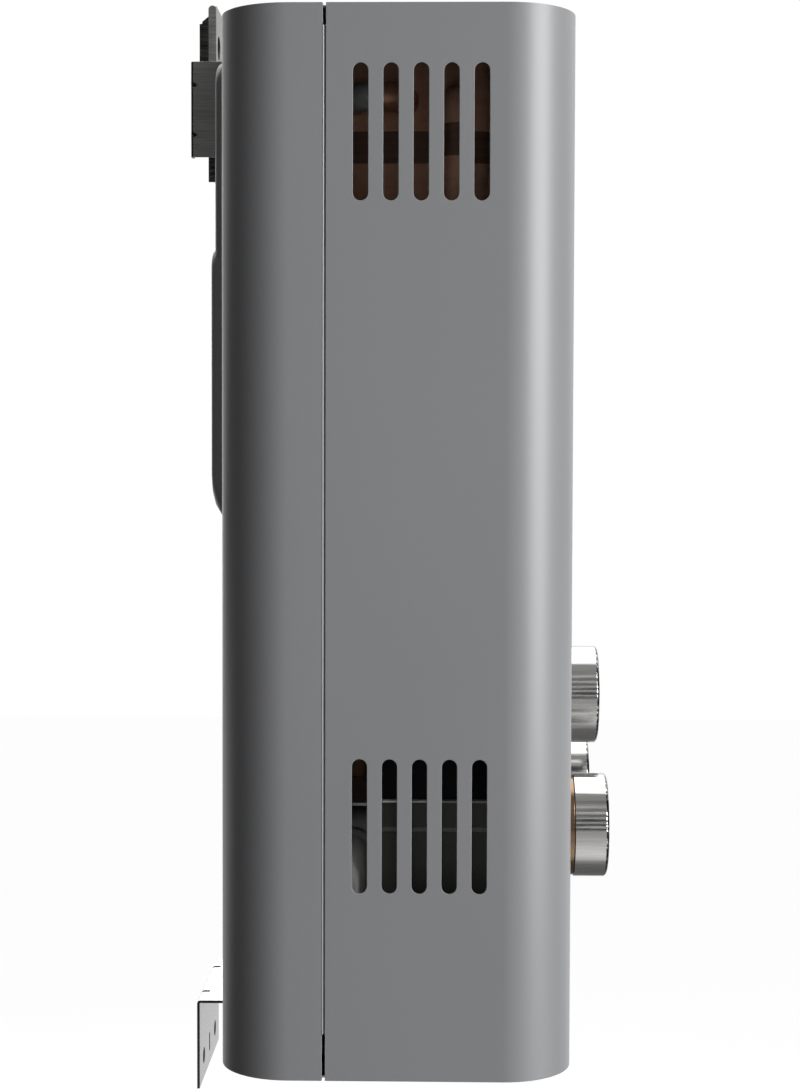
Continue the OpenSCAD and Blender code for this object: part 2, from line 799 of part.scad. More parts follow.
// The lower wall bracket: flange on the casing's back, shelf to the wall, flange down the wall.
module lower_bracket() {
    half = foot_w / 2;
    back = wall_gap;
    hole_z = foot_z - foot_hole_drop;
    color(zinc) on_wall() difference() {
        union() {
            side_extrude([-half, half]) {
                translate([0, foot_z - strap_t]) square([strap_t, foot_up]);
                translate([0, foot_z - strap_t]) square([back - bend_r, strap_t]);
                translate([back - strap_t, foot_z - foot_drop]) square([strap_t, foot_drop - bend_r]);
                intersection() {
                    translate([back - bend_r, foot_z - bend_r]) difference() {
                        circle(bend_r);
                        circle(bend_r - strap_t);
                    }
                    translate([back - bend_r, foot_z - bend_r]) square(bend_r);
                }
            }
            intersection() {
                foot_dents(dent_r + dent_lift + strap_t, strap_t);
                block(
                    [-half, half], [dent_seat - back, 2 * dent_len - back],
                    [foot_z - foot_drop, foot_z - dent_seat]
                );
            }
        }
        foot_dents(dent_r + dent_lift, dent_tip);
        for (s = [-1, 1]) {
            rod_y(s * foot_pitch / 2, hole_z, [-back - cut, -back + strap_t + cut], screw_hole_r);
        }
        front_extrude([-back - cut, -back + strap_t + cut]) slot([0, hole_z], foot_slot[0], foot_slot[1]);
    }
}

module foot_dents(r, tip) {
    for (s = [-1, 1]) {
        dent([s * foot_pitch / 2, wall_gap + dent_lift, foot_z + dent_lift], [90 + dent_tilt, 0, 0], r, tip);
    }
}

// A knob: brushed side, rounded rim, dished face with a pointer groove, blind bore for its spindle.
module knob(x, z) {
    h = knob_front - ring_front;
    color(brushed) on_wall() translate([x, -ring_front, z]) rotate([90, 0, 0]) difference() {
        rotate_extrude() {
            square([knob_r - knob_round, h]);
            square([knob_r, h - knob_round]);
            translate([knob_r - knob_round, h - knob_round]) circle(knob_round);
        }
        translate([0, 0, h - knob_dish]) cylinder(h = cut + knob_dish, r = knob_r - 2 * knob_round);
        translate([-pointer[0] / 2, knob_r - 3 * knob_round - pointer[1], h - 2 * knob_dish]) {
            cube([pointer[0], pointer[1], cut + 2 * knob_dish]);
        }
        translate([0, 0, -cut]) {
            cylinder(h = cut + spindle_grip + 10 * spindle_fit, r = spindle_r + spindle_fit);
        }
    }
}

// The rose-gold ring between a knob and the cover.
module base_ring(x, z) {
    d = [body_d + knob_play, ring_front];
    color(rose_gold) on_wall() difference() {
        rod_y(x, z, d, ring_r);
        rod_y(x, z, [d[0] - cut, d[1] + cut], ring_r - ring_w);
    }
}

module spindle(x, z) {
    color(cast_alloy) on_wall() rod_y(x, z, [spindle_back, spindle_front], spindle_r);
}

module gas_knob() knob(-knob_low_x, knob_low_z);
module gas_knob_ring() base_ring(-knob_low_x, knob_low_z);
module gas_spindle() spindle(-knob_low_x, knob_low_z);
module water_knob() knob(knob_low_x, knob_low_z);
module water_knob_ring() base_ring(knob_low_x, knob_low_z);
module water_spindle() spindle(knob_low_x, knob_low_z);
module season_knob() knob(0, knob_up_z);
module season_knob_ring() base_ring(0, knob_up_z);
module season_spindle() spindle(0, knob_up_z);

// The core's outline seen from above, drawn in by an inset. Its corners follow the coil's bends.
module core_plan(inset) {
    r = pipe_bend - tube_r - coil_play - inset;
    round_rect([inset - core_half, inset - core_front], [core_half - inset, -core_back - inset], r);
}

// An upright frame of sheet with the core's outline, open above and below.
module core_frame(z) {
    translate([0, 0, z[0]]) linear_extrude(z[1] - z[0]) difference() {
        core_plan(0);
        core_plan(sheet);
    }
}

module flue_hood() {
    color(zinc) on_wall() {
        core_frame([fin_z + fin_h, roof_z]);
        translate([0, 0, roof_z - sheet]) linear_extrude(sheet) difference() {
            core_plan(-hood_flange);
            core_plan(sheet);
        }
    }
}

// The fin block: a frame, fins across it and three tubes through them.
module fin_block() {
    count = floor((core_w - 2 * sheet - fin_pitch) / fin_pitch);
    color(copper) on_wall() {
        core_frame([fin_z, fin_z + fin_h]);
        for (i = [0 : count - 1]) {
            x = (i - (count - 1) / 2) * fin_pitch;
            block([x - fin_t / 2, x + fin_t / 2], [core_back + sheet, core_front - sheet],
                [fin_z + fin_inset, fin_z + fin_h - fin_inset]);
        }
        for (k = [-1, 0, 1]) {
            rod_x(core_mid + k * tube_pitch, tube_z, [-core_half - tube_stub, core_half + tube_stub], tube_r);
        }
    }
}

// A half-round bend that joins two neighbouring tubes; side is -1 left, 1 right.
module return_bend(side) {
    bend = tube_pitch / 2;
    color(copper) on_wall() translate([side * (core_half + tube_stub), -core_mid - side * bend, tube_z]) {
        rotate([0, 0, -side * 90]) rotate_extrude(angle = 180) translate([bend, 0]) circle(tube_r);
    }
}

module return_bend_left() return_bend(-1);
module return_bend_right() return_bend(1);

module combustion_chamber() {
    color(copper) on_wall() difference() {
        core_frame([chamber_z, fin_z]);
        for (x = [-burner_pitch, burner_pitch]) {
            rod_y(x, electrode_z, [core_front - sheet - cut, core_front + cut], ceramic_r + electrode_fit);
        }
    }
}

// The stay that carries the chamber from the bulge's hollow side.
module chamber_stay() {
    z = [bulge_up_z[0] + stay_rise, bulge_up_z[0] + stay_rise + stay_h];
    rear = sheet - bulge_up_h;
    color(zinc) on_wall() {
        block([-stay_half, stay_half], [rear, rear + strap_t], z);
        for (x = [-stay_half, stay_half - strap_t]) {
            block([x, x + strap_t], [rear + strap_t, core_back], z);
        }
        for (x = [-stay_half, stay_half - stay_tab]) {
            block([x, x + stay_tab], [core_back - strap_t, core_back], z);
        }
    }
}

module water_coil() {
    color(copper) on_wall() pipe([
        [coil_x, coil_front, pipe_joint_z], [coil_x, coil_front, coil_z],
        [coil_x, coil_back, coil_z], [-coil_x, coil_back, coil_z],
        [-coil_x, coil_front, coil_z], [-coil_x, coil_front, coil_up_z],
        [coil_x, coil_front, coil_up_z], [coil_x, coil_back, coil_up_z],
        [-riser_x, coil_back, coil_up_z], [-riser_x, core_mid + tube_pitch, coil_up_z],
        [-riser_x, core_mid + tube_pitch, tube_z], [-core_half - tube_stub, core_mid + tube_pitch, tube_z]
    ], tube_r, pipe_bend);
}

module cold_pipe() {
    color(copper) on_wall() {
        pipe([
            [knob_low_x, coil_front, water_top_z], [knob_low_x, coil_front, cold_bend_z],
            [coil_x, coil_front, cold_bend_z], [coil_x, coil_front, pipe_joint_z]
        ], tube_r, pipe_bend);
        translate([coil_x, -coil_front, pipe_joint_z - joint_h]) cylinder(h = joint_h, r = nut_r, $fn = 6);
    }
}

module cold_feed() {
    color(copper) on_wall() pipe([
        [cold_port_x, port_d, spigot_z], [cold_port_x, port_d, feed_bend_z],
        [cold_port_x, feed_d, feed_bend_z], [cold_port_x, feed_d, water_foot_z]
    ], tube_r, pipe_bend);
}

module hot_pipe() {
    color(copper) on_wall() pipe([
        [core_half + tube_stub, port_d, tube_z], [hot_x, port_d, tube_z],
        [hot_x, port_d, hot_bend_z], [hot_port_x, port_d, hot_bend_z], [hot_port_x, port_d, spigot_z]
    ], tube_r, pipe_bend);
}

// The burner rack: a frame with jet holes in front, air windows at the sides and two rails.
module burner_rack() {
    color(zinc) on_wall() {
        difference() {
            core_frame([rack_z, chamber_z]);
            for (i = [0 : burner_count - 1]) {
                x = (i - (burner_count - 1) / 2) * burner_pitch;
                rod_y(x, manifold_z, [core_front - sheet - cut, core_front + cut], jet_hole_r);
            }
            side_extrude([-core_half - cut, core_half + cut]) {
                for (d = [core_mid - rack_window[0] - 4, core_mid + rack_window[0] + 4]) {
                    slot([-d, rack_z + rack_window[1] - 4], rack_window[0], rack_window[1]);
                }
            }
        }
        for (d = [core_mid - 32, core_mid + 20]) {
            block([sheet / 2 - core_half, core_half - sheet / 2], [d, d + rail_w], [rail_z, bar_z]);
        }
    }
}

// A burner bar: a flat tube that runs back from its throat, turns up and carries the ports.
module burner_bar(i) {
    x = (i - 1 - (burner_count - 1) / 2) * burner_pitch;
    d = [core_back + sheet + 1, core_front - bar_gap];
    top = bar_z + burner_h;
    slits = floor((d[1] - d[0] - 12) / port_pitch);
    throat_z = bar_z + burner_h - port_head_h - 2 * throat_gap - 1;
    turn_r = throat_gap / 2;
    turn_d = d[0] + 4 * turn_r - 1;
    color(brushed) on_wall() if (i <= burner_count) difference() {
        union() {
            side_extrude([x - burner_t / 2, x + burner_t / 2]) difference() {
                round_rect([-d[1], bar_z], [-d[0], top], 5);
                translate([-d[1] - cut, throat_z]) square([d[1] + cut - turn_d, throat_gap]);
                translate([-turn_d, throat_z + turn_r]) circle(turn_r);
            }
            block([x - port_head / 2, x + port_head / 2], [d[0] + 4, d[1] - 4], [top - port_head_h, top]);
        }
        for (k = [0 : slits - 1]) {
            p = d[0] + 8 + k * port_pitch;
            block([x - port_half, x + port_half], [p, p + port_w], [top - port_cut, top + cut]);
        }
        rod_y(x, manifold_z, [d[1] - 2 * tube_r, d[1] + cut], mixing_r);
    }
}

module burner_bar_1() burner_bar(1);
module burner_bar_2() burner_bar(2);
module burner_bar_3() burner_bar(3);
module burner_bar_4() burner_bar(4);
module burner_bar_5() burner_bar(5);
module burner_bar_6() burner_bar(6);

module gas_manifold() {
    color(cast_alloy) on_wall() {
        rod_x(manifold_d, manifold_z, [-manifold_half, manifold_half], manifold_r);
        rod_z(0, manifold_d, [manifold_foot_z, manifold_z], manifold_gap - jet_seat);
        for (i = [0 : burner_count - 1]) {
            x = (i - (burner_count - 1) / 2) * burner_pitch;
            rod_y(x, manifold_z, [core_front + jet_seat, manifold_d], jet_r + jet_wall);
        }
        for (x = [-manifold_half, manifold_half - manifold_foot]) {
            block([x, x + manifold_foot], [core_front, manifold_d], [manifold_z - 5, manifold_z + 5]);
        }
    }
}

module gas_jets() {
    color(brass) on_wall() for (i = [0 : burner_count - 1]) {
        x = (i - (burner_count - 1) / 2) * burner_pitch;
        rod_y(x, manifold_z, [core_front - jet_body, core_front + jet_seat], jet_r);
        translate([x, jet_body - core_front, manifold_z]) rotate([-90, 0, 0]) {
            cylinder(h = jet_tip, r1 = jet_r, r2 = jet_tip_r);
        }
    }
}

module gas_riser() {
    z = [selector_z + selector_r + selector_neck, manifold_foot_z];
    color(cast_alloy) on_wall() {
        rod_z(0, manifold_d, z, tube_r);
        for (low = [z[0], z[1] - nut_h]) {
            translate([0, -manifold_d, low]) cylinder(h = nut_h, r = nut_r, $fn = 6);
        }
    }
}

// A valve barrel that lies from back to front, with a neck in front and a blind spindle bore.
module valve_barrel(x, z, back, r) {
    difference() {
        union() {
            rod_y(x, z, [back, valve_front - neck_len], r);
            rod_y(x, z, [valve_front - neck_len, valve_front], boss_r + 2);
            children();
        }
        rod_y(x, z, [bore_back, body_d], spindle_r + spindle_play);
    }
}

module selector_valve() {
    color(cast_alloy) on_wall() valve_barrel(0, selector_z, valve_front - selector_len, selector_r) {
        rod_z(0, manifold_d, [selector_z, selector_z + selector_r + selector_neck], boss_r);
        rod_x(rod_d, selector_z, [-selector_r - neck_len, 0], boss_r);
    }
}

module gas_link() {
    color(cast_alloy) on_wall() pipe([
        [-knob_low_x, rod_d, knob_low_z + gas_valve_r + neck_len], [-knob_low_x, rod_d, selector_z],
        [-selector_r - neck_len, rod_d, selector_z]
    ], tube_r, pipe_bend);
}

module gas_valve() {
    x = -knob_low_x;
    z = knob_low_z;
    color(cast_alloy) on_wall() difference() {
        valve_barrel(x, z, barrel_back, gas_valve_r) {
            rod_y(x, z, [tail_back, barrel_back], gas_tail_r);
            block([x - 10, x + 10], [tail_back + 8, barrel_back - 6], [z, shelf_z]);
            rod_x(port_d, gas_pipe_z, [gas_port_x + pipe_bend, x], gas_pipe_r + 2.5);
            rod_z(x, rod_d, [z, z + gas_valve_r + neck_len], boss_r);
            rod_x(rod_d, z, [x, boss_x], boss_r);
            block([boss_x - 18, boss_x], [rod_d - 6, rod_d + 6], [z, z + switch_rise]);
        }
        rod_x(rod_d, z, [rod_seat_x, boss_x + cut], rod_bore_r);
    }
}

module solenoid() {
    end_d = tail_back - solenoid_len;
    z = [knob_low_z - plug / 2, knob_low_z + plug / 2];
    color(dark_plastic) on_wall() {
        rod_y(-knob_low_x, knob_low_z, [end_d, tail_back], gas_tail_r - 1);
        block([-knob_low_x - plug, plug - knob_low_x], [end_d - plug, end_d], z);
    }
}

module gas_pipe() {
    color(cast_alloy) on_wall() pipe([
        [gas_port_x, port_d, spigot_z], [gas_port_x, port_d, gas_pipe_z],
        [gas_port_x + pipe_bend, port_d, gas_pipe_z]
    ], gas_pipe_r, pipe_bend);
}

module water_valve() {
    x = knob_low_x;
    z = knob_low_z;
    color(brass) on_wall() valve_barrel(x, z, barrel_back, water_valve_r) {
        rod_z(x, feed_d, [water_foot_z, z - neck_len], boss_r);
        rod_z(x, coil_front, [z + neck_len, water_top_z], boss_r);
        rod_x(rod_d, z, [housing_x + disc_t, x - 10], water_valve_r - 5);
        rod_x(rod_d, z, [housing_x, housing_x + disc_t], diaphragm_r);
    }
}

module diaphragm_cover() {
    x = housing_x;
    color(brass) on_wall() difference() {
        union() {
            rod_x(rod_d, knob_low_z, [x - housing_step, x], diaphragm_r);
            rod_x(rod_d, knob_low_z, [x - 2 * housing_step, x - housing_step], diaphragm_r - boss_r);
            rod_x(rod_d, knob_low_z, [guide_x, x - 2 * housing_step], boss_r);
        }
        rod_x(rod_d, knob_low_z, [guide_x - cut, x - sheet], rod_bore_r);
    }
}

module pushrod() {
    color(brushed) on_wall() {
        rod_x(rod_d, knob_low_z, [rod_seat_x + 2 * rod_stroke, housing_x - 4 * sheet], rod_r);
        rod_x(rod_d, knob_low_z, [collar_x, collar_x + collar_t], collar_r);
    }
}

module micro_switch() {
    z = knob_low_z + switch_rise;
    x = boss_x - 6;
    color(dark_plastic) on_wall() {
        block([x, x + switch_size[0]], [rod_d - 5, rod_d + 5], [z, z + switch_size[1]]);
        rod_z(collar_x + collar_t / 2 - rod_stroke, rod_d, [z - 3, z], 1.5);
    }
}

module valve_shelf() {
    x = [-shelf_half, shelf_half];
    top = shelf_z + strap_t;
    color(zinc) on_wall() {
        difference() {
            block(x, [sheet, shelf_front], [shelf_z, top]);
            rod_z(hot_port_x, port_d, [shelf_z - cut, top + cut], tube_r + 4);
        }
        block(x, [sheet, sheet + strap_t], [top, shelf_z + shelf_flange]);
    }
}

// The igniter box stands between the side slots and the gas valve; the leads leave through its lid.
module igniter_box() {
    right = -knob_low_x - gas_valve_r - igniter_gap;
    left = right - igniter_size[0];
    d = [shelf_front + igniter_gap, shelf_front + igniter_gap + igniter_size[1]];
    lead_x = (left + right) / 2;
    color(dark_plastic) on_wall() {
        block([left, right], d, [igniter_z[0], igniter_z[1]]);
        block([left + igniter_step, right], d, [igniter_z[1], igniter_z[2]]);
        block([left - ridge_h, left], d, [igniter_rib, igniter_rib + 2 * ridge_h]);
        for (i = [1, 2, 4]) {
            rod_z(lead_x, d[0] + 2 * i * plug, [igniter_z[2], igniter_z[2] + plug], ceramic_r);
        }
    }
}

// A ceramic body through the chamber's front wall with a wire over the burners.
module electrode(x, reach) {
    inner = core_front - sheet - 4;
    rod_y(x, electrode_z, [inner, core_front + 4 * ceramic_r], ceramic_r);
    rod_y(x, electrode_z, [core_front - reach, inner], wire_r);
}

module spark_electrode() color([0.92, 0.92, 0.90]) on_wall() electrode(-burner_pitch, electrode_reach[0]);
module flame_probe() color([0.92, 0.92, 0.90]) on_wall() electrode(burner_pitch, electrode_reach[1]);

module thermal_cutout() {
    color(dark_plastic) on_wall() {
        rod_y(core_half / 2, fin_z + fin_h / 2, [core_front, core_front + 5], cutout_r);
        rod_y(core_half / 2, fin_z + fin_h / 2, [core_front + 5, core_front + 9], cutout_r - 3);
    }
}

// A threaded connector: plain thread, two hexagons that grip the bottom plate, spigot and bore.
module connector(x, metal) {
    end_z = -hex_low - thread_len;
    color(metal) on_wall() translate([x, -port_d, 0]) difference() {
        union() {
            translate([0, 0, end_z]) cylinder(h = floor_z - end_z, r = thread_r);
            translate([0, 0, -hex_low]) cylinder(h = hex_low + sheet, r = hex_r, $fn = 6);
            translate([0, 0, floor_z]) cylinder(h = hex_up, r = hex_r, $fn = 6);
            translate([0, 0, floor_z]) cylinder(h = spigot_z - floor_z, r = spigot_r);
        }
        translate([0, 0, end_z - cut]) cylinder(h = inlet_bore, r = tube_r + 1);
    }
}

module gas_inlet() connector(gas_port_x, brass);
module hot_outlet() connector(hot_port_x, brass);
module cold_inlet() connector(cold_port_x, brass);

// The battery box: an open-bottomed shell that stands on the bottom plate.
module battery_box() {
    z = [floor_z, floor_z + box_h];
    color(dark_plastic) on_wall() difference() {
        block(box_x, box_d, z);
        block(
            [box_x[0] + box_t, box_x[1] - box_t], [box_d[0] + box_t, box_d[1] - box_t],
            [z[0] - cut, z[1] - box_t]
        );
    }
}

// The lid under the bottom plate, with the barrel that turns on the hinge pin.
module battery_lid() {
    z = [sheet - lid_play - lid_t, sheet - lid_play];
    x = [hinge_x - barrel_len / 2, hinge_x + barrel_len / 2];
    ridge_x = [hinge_x - ridge_w / 2, hinge_x + ridge_w / 2];
    d = [box_d[0] + 2 * lid_inset, box_d[1] - lid_inset];
    color(steel_paint) on_wall() difference() {
        union() {
            block([box_x[0] + lid_inset, box_x[1] - lid_inset], d, z);
            block(x, [hinge_d, d[0]], z);
            rod_x(hinge_d, hinge_z, x, barrel_r);
            block(ridge_x, [d[1] - 5, d[1] - 3], [z[0] - ridge_h, z[0]]);
        }
        rod_x(hinge_d, hinge_z, [x[0] - cut, x[1] + cut], hinge_pin_r + hinge_play);
    }
}

// The hinge: two ears under the bottom plate and the pin between them.
module lid_hinge() {
    near = barrel_len / 2 + lid_play;
    color(zinc) on_wall() {
        for (x = [hinge_x - near - ear_w, hinge_x + near]) {
            block([x, x + ear_w], [hinge_d - barrel_r, hinge_d + barrel_r], [hinge_z, sheet]);
            rod_x(hinge_d, hinge_z, [x, x + ear_w], barrel_r);
        }
        rod_x(hinge_d, hinge_z, [hinge_x - near - cut, hinge_x + near + cut], hinge_pin_r);
    }
}

front_cover();
rear_casing();
top_grille();
bottom_plate();
sight_window();
wall_bracket();
hanger_strip();
lower_bracket();
gas_knob();
gas_knob_ring();
gas_spindle();
water_knob();
water_knob_ring();
water_spindle();
season_knob();
season_knob_ring();
season_spindle();
flue_hood();
fin_block();
return_bend_left();
return_bend_right();
combustion_chamber();
chamber_stay();
water_coil();
cold_feed();
cold_pipe();
hot_pipe();
burner_rack();
burner_bar_1();
burner_bar_2();
burner_bar_3();
burner_bar_4();
burner_bar_5();
burner_bar_6();
gas_manifold();
gas_jets();
gas_riser();
selector_valve();
gas_link();
gas_valve();
solenoid();
gas_pipe();
water_valve();
diaphragm_cover();
pushrod();
micro_switch();
valve_shelf();
igniter_box();
spark_electrode();
flame_probe();
thermal_cutout();
gas_inlet();
hot_outlet();
cold_inlet();
battery_box();
battery_lid();
lid_hinge();
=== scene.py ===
# %% [markdown]
# # A wall-hung gas water heater
# The heater is a painted sheet-steel casing in two shells, with a burner, a heat exchanger and three valves
# inside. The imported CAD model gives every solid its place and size, and it never moves here. This script lights
# it, gives each solid its finish, and adds the pieces that need a finer shape than CAD gives them.

# %% Load the frame
import json
import math

import bmesh
import bpy
from mathutils import Matrix, Vector


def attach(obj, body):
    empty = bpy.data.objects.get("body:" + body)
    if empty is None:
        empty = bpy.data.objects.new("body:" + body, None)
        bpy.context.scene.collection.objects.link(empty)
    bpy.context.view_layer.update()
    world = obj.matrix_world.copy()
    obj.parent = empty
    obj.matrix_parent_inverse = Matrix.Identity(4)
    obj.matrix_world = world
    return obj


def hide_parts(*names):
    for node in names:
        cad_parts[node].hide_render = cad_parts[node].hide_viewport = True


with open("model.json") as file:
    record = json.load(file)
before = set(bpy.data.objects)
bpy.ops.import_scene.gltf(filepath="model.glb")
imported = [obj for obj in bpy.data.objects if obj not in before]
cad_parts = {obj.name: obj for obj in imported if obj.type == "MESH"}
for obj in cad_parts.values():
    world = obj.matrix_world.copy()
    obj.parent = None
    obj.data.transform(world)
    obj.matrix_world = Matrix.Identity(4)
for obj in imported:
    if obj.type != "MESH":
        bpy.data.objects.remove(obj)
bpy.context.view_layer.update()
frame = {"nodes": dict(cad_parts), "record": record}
nodes = frame["nodes"]

# %% [markdown]
# ## Places on the heater
# It is easiest to speak of the heater from its own casing: sideways from the middle, forwards from its back,
# and up from its underside, in millimetres. One small function turns such a place into the frame's metres.

# %% Places in the casing's own terms
WALL_GAP = 20
HANG_HEIGHT = 437
BODY_DEPTH, BODY_HEIGHT = 144, 430


def mm(length):
    """A length in millimetres, as metres."""
    return length / 1000


def at(x, depth, height):
    """A point in the frame from its place on the casing."""
    return Vector((mm(x), -mm(depth + WALL_GAP), mm(height - HANG_HEIGHT)))


middle = at(0, BODY_DEPTH / 2, BODY_HEIGHT / 2)
print("middle of the casing", [round(v, 4) for v in middle])

# %% [markdown]
# ## Camera
# The photograph looks at the heater's left side from under a metre away, a touch downwards. The camera could be
# placed by eye, but a pinhole camera fitted to the casing's corners, slots and knobs lines all of them up at once.

# %% Camera
CAMERA_PLACE = (-0.96339, -0.11044, -0.18744)
CAMERA_YAW, CAMERA_PITCH, CAMERA_ROLL = -0.0204, 0.0412, 0.0026
CAMERA_LENS, CAMERA_SENSOR = 67.97, 36
NEAR_CLIP = 0.01

ahead = Vector((
    math.cos(CAMERA_YAW) * math.cos(CAMERA_PITCH),
    -math.sin(CAMERA_YAW) * math.cos(CAMERA_PITCH),
    -math.sin(CAMERA_PITCH),
))
level = Vector((-math.sin(CAMERA_YAW), -math.cos(CAMERA_YAW), 0))
upward = level.cross(ahead)
rightward = level * math.cos(CAMERA_ROLL) + upward * math.sin(CAMERA_ROLL)
skyward = upward * math.cos(CAMERA_ROLL) - level * math.sin(CAMERA_ROLL)
turned = Matrix((rightward, skyward, -ahead)).transposed().to_4x4()

bpy.ops.object.camera_add()
camera = bpy.context.object
camera.name = "photo_camera"
camera.data.lens = CAMERA_LENS
camera.data.sensor_width = CAMERA_SENSOR
camera.data.clip_start = NEAR_CLIP
camera.matrix_world = Matrix.Translation(CAMERA_PLACE) @ turned
bpy.context.scene.camera = camera
print("camera lens", CAMERA_LENS, "mm, looking along", [round(v, 3) for v in ahead])

# %% [markdown]
# ## Shader expressions
# A finish is a small sum of noises and masks. Written as Python expressions it reads like one:
# `Value` wraps a socket and turns `1 - mask` or `noise * 0.2` into Math nodes, and `Finish` owns the material
# and adds every other kind of node through one method.

# %% A number in a node tree


class Value:
    """A number in a node tree that can be written into sums."""

    def __init__(self, finish, socket):
        self.finish = finish
        self.socket = socket

    def maths(self, operation, first, second=0.0):
        """One Math node."""
        return self.finish.node("ShaderNodeMath", {"operation": operation}, {0: first, 1: second})

    def __add__(self, other):
        return self.maths("ADD", self, other)

    __radd__ = __add__

    def __sub__(self, other):
        return self.maths("SUBTRACT", self, other)

    def __rsub__(self, other):
        return self.maths("SUBTRACT", other, self)

    def __mul__(self, other):
        return self.maths("MULTIPLY", self, other)

    __rmul__ = __mul__

    def off(self, place):
        """Distance from a place along an axis."""
        return self.maths("ABSOLUTE", self - place)

    def __gt__(self, other):
        return self.maths("GREATER_THAN", self, other)

    def __lt__(self, other):
        return self.maths("LESS_THAN", self, other)


def opaque(colour):
    """A colour of three numbers with full alpha; anything else is left as it is."""
    return (*colour, 1.0) if isinstance(colour, tuple) and len(colour) == 3 else colour


def fill_ramp(ramp, stops):
    """Gives a colour ramp its stops, each a position with a grey or a colour."""
    while len(ramp.elements) < len(stops):
        ramp.elements.new(0.5)
    for element, (position, colour) in zip(ramp.elements, stops):
        element.position = position
        element.color = opaque(colour) if isinstance(colour, tuple) else (colour, colour, colour, 1.0)


print("Value, opaque and fill_ramp ready")

# %% A material as an expression


class Finish:
    """A procedural material, with its Principled shader and its pattern coordinates."""

    def __init__(self, name, **plain):
        self.material = bpy.data.materials.new(name)
        self.material.use_nodes = True
        self.tree = self.material.node_tree
        self.tree.nodes.clear()
        self.shader = self.tree.nodes.new("ShaderNodeBsdfPrincipled")
        output = self.tree.nodes.new("ShaderNodeOutputMaterial")
        self.tree.links.new(self.shader.outputs[0], output.inputs["Surface"])
        self.place = self.node("ShaderNodeTexCoord", {}, {}, "Object")
        self.set(**plain)

    def node(self, kind, settings, inputs, output=0):
        """Adds one node, its settings first, then its inputs, and gives back one of its outputs."""
        new = self.tree.nodes.new(kind)
        for setting, value in settings.items():
            if setting == "stops":
                fill_ramp(new.color_ramp, value)
            else:
                setattr(new, setting, value)
        for key, value in inputs.items():
            self.feed(new.inputs[key], value)
        return Value(self, new.outputs[output])

    def feed(self, socket, value):
        """Links a Value to a socket, or writes a plain number or colour into it."""
        if isinstance(value, Value):
            self.tree.links.new(value.socket, socket)
        else:
            socket.default_value = value

    def set(self, **values):
        """Sets the shader's own sockets; an underscore stands for a space."""
        for name, value in values.items():
            self.feed(self.shader.inputs[name.replace("_", " ")], opaque(value))

    def axis(self, number):
        """One of the pattern's coordinates, in metres."""
        return self.node("ShaderNodeSeparateXYZ", {}, {0: self.place}, number)

    def height(self):
        """The height over the casing's underside, in millimetres."""
        return self.axis(2) * 1000 + HANG_HEIGHT

    def depth(self):
        """The depth in front of the casing's back, in millimetres."""
        return self.axis(1) * -1000 - WALL_GAP

    def aside(self):
        """The distance from the casing's middle plane, in millimetres."""
        return self.axis(0).off(0) * 1000

    def from_axis(self, x, height):
        """The distance in metres from an axis that runs from back to front."""
        local = self.stretched(1, 1, 1, tuple(at(x, 0, height)))
        flat = self.node("ShaderNodeVectorMath", {"operation": "MULTIPLY"}, {0: local, 1: (1.0, 0.0, 1.0)})
        return self.node("ShaderNodeVectorMath", {"operation": "LENGTH"}, {0: flat}, "Value")

    def stretched(self, x, y, z, move=(0, 0, 0)):
        """The pattern coordinates, in repeats a metre along each axis."""
        return self.node("ShaderNodeMapping", {"vector_type": "TEXTURE"}, {
            "Vector": self.place, "Location": move, "Scale": (1 / x, 1 / y, 1 / z),
        })

    def noise(self, repeats, detail=2.0, roughness=0.5, place=None):
        """A cloudy noise; where a stretched place is given, its own repeats count and this one is 1."""
        return self.node("ShaderNodeTexNoise", {}, {
            "Vector": place or self.place, "Scale": repeats, "Detail": detail, "Roughness": roughness,
        })

    def ramp(self, value, stops):
        """A colour that goes with a value from stop to stop."""
        return self.node("ShaderNodeValToRGB", {"stops": stops}, {"Fac": value})

    def graded(self, value, start, end, low, high):
        """A number that goes from low to high as the value goes from start to end."""
        return self.node("ShaderNodeMapRange", {}, {
            "Value": value, "From Min": start, "From Max": end, "To Min": low, "To Max": high,
        })

    def mix(self, factor, first, second):
        """Mixes two colours."""
        colours = {0: factor, 6: opaque(first), 7: opaque(second)}
        return self.node("ShaderNodeMix", {"data_type": "RGBA"}, colours, 2)

    def bump(self, height, depth_mm, strength=1.0):
        """Tilts the surface as if the pattern stood up by a depth."""
        relief = {"Height": height, "Distance": mm(depth_mm), "Strength": strength}
        return self.node("ShaderNodeBump", {}, relief)


print("Finish ready")

# %% [markdown]
# ## Floor
# The photograph stands on plain white, and the metal mirrors a studio that isn't in the picture. More light on a
# white floor would also light the heater from below, so the floor glows only for the camera and for reflections.
# In reflections it is bright on the camera's side and far away on the other side. Close to the heater and behind
# its back it is dark, so that the casing's rear rounding mirrors something dark. Each fade below says where it
# starts and where it ends, in metres.

# %% Floor
FLOOR_DROP, FLOOR_SIZE = 0.75, 14
PAPER_GREY = 0.14
FLOOR_SEEN, GLOSS_NEAR, GLOSS_FAR = 0.93, 0.06, 0.95
WALL_FADE = (0.0, 0.3)
NEAR_FADE = (-0.40, -0.14)
SIDE_FADE = (-1.6, -0.45)
FAR_FADE = (1.0, 2.2)

bpy.ops.mesh.primitive_plane_add(size=FLOOR_SIZE, location=at(0, 0, 0) - Vector((0, 0, FLOOR_DROP)))
floor = bpy.context.object
floor.name = "studio_floor"

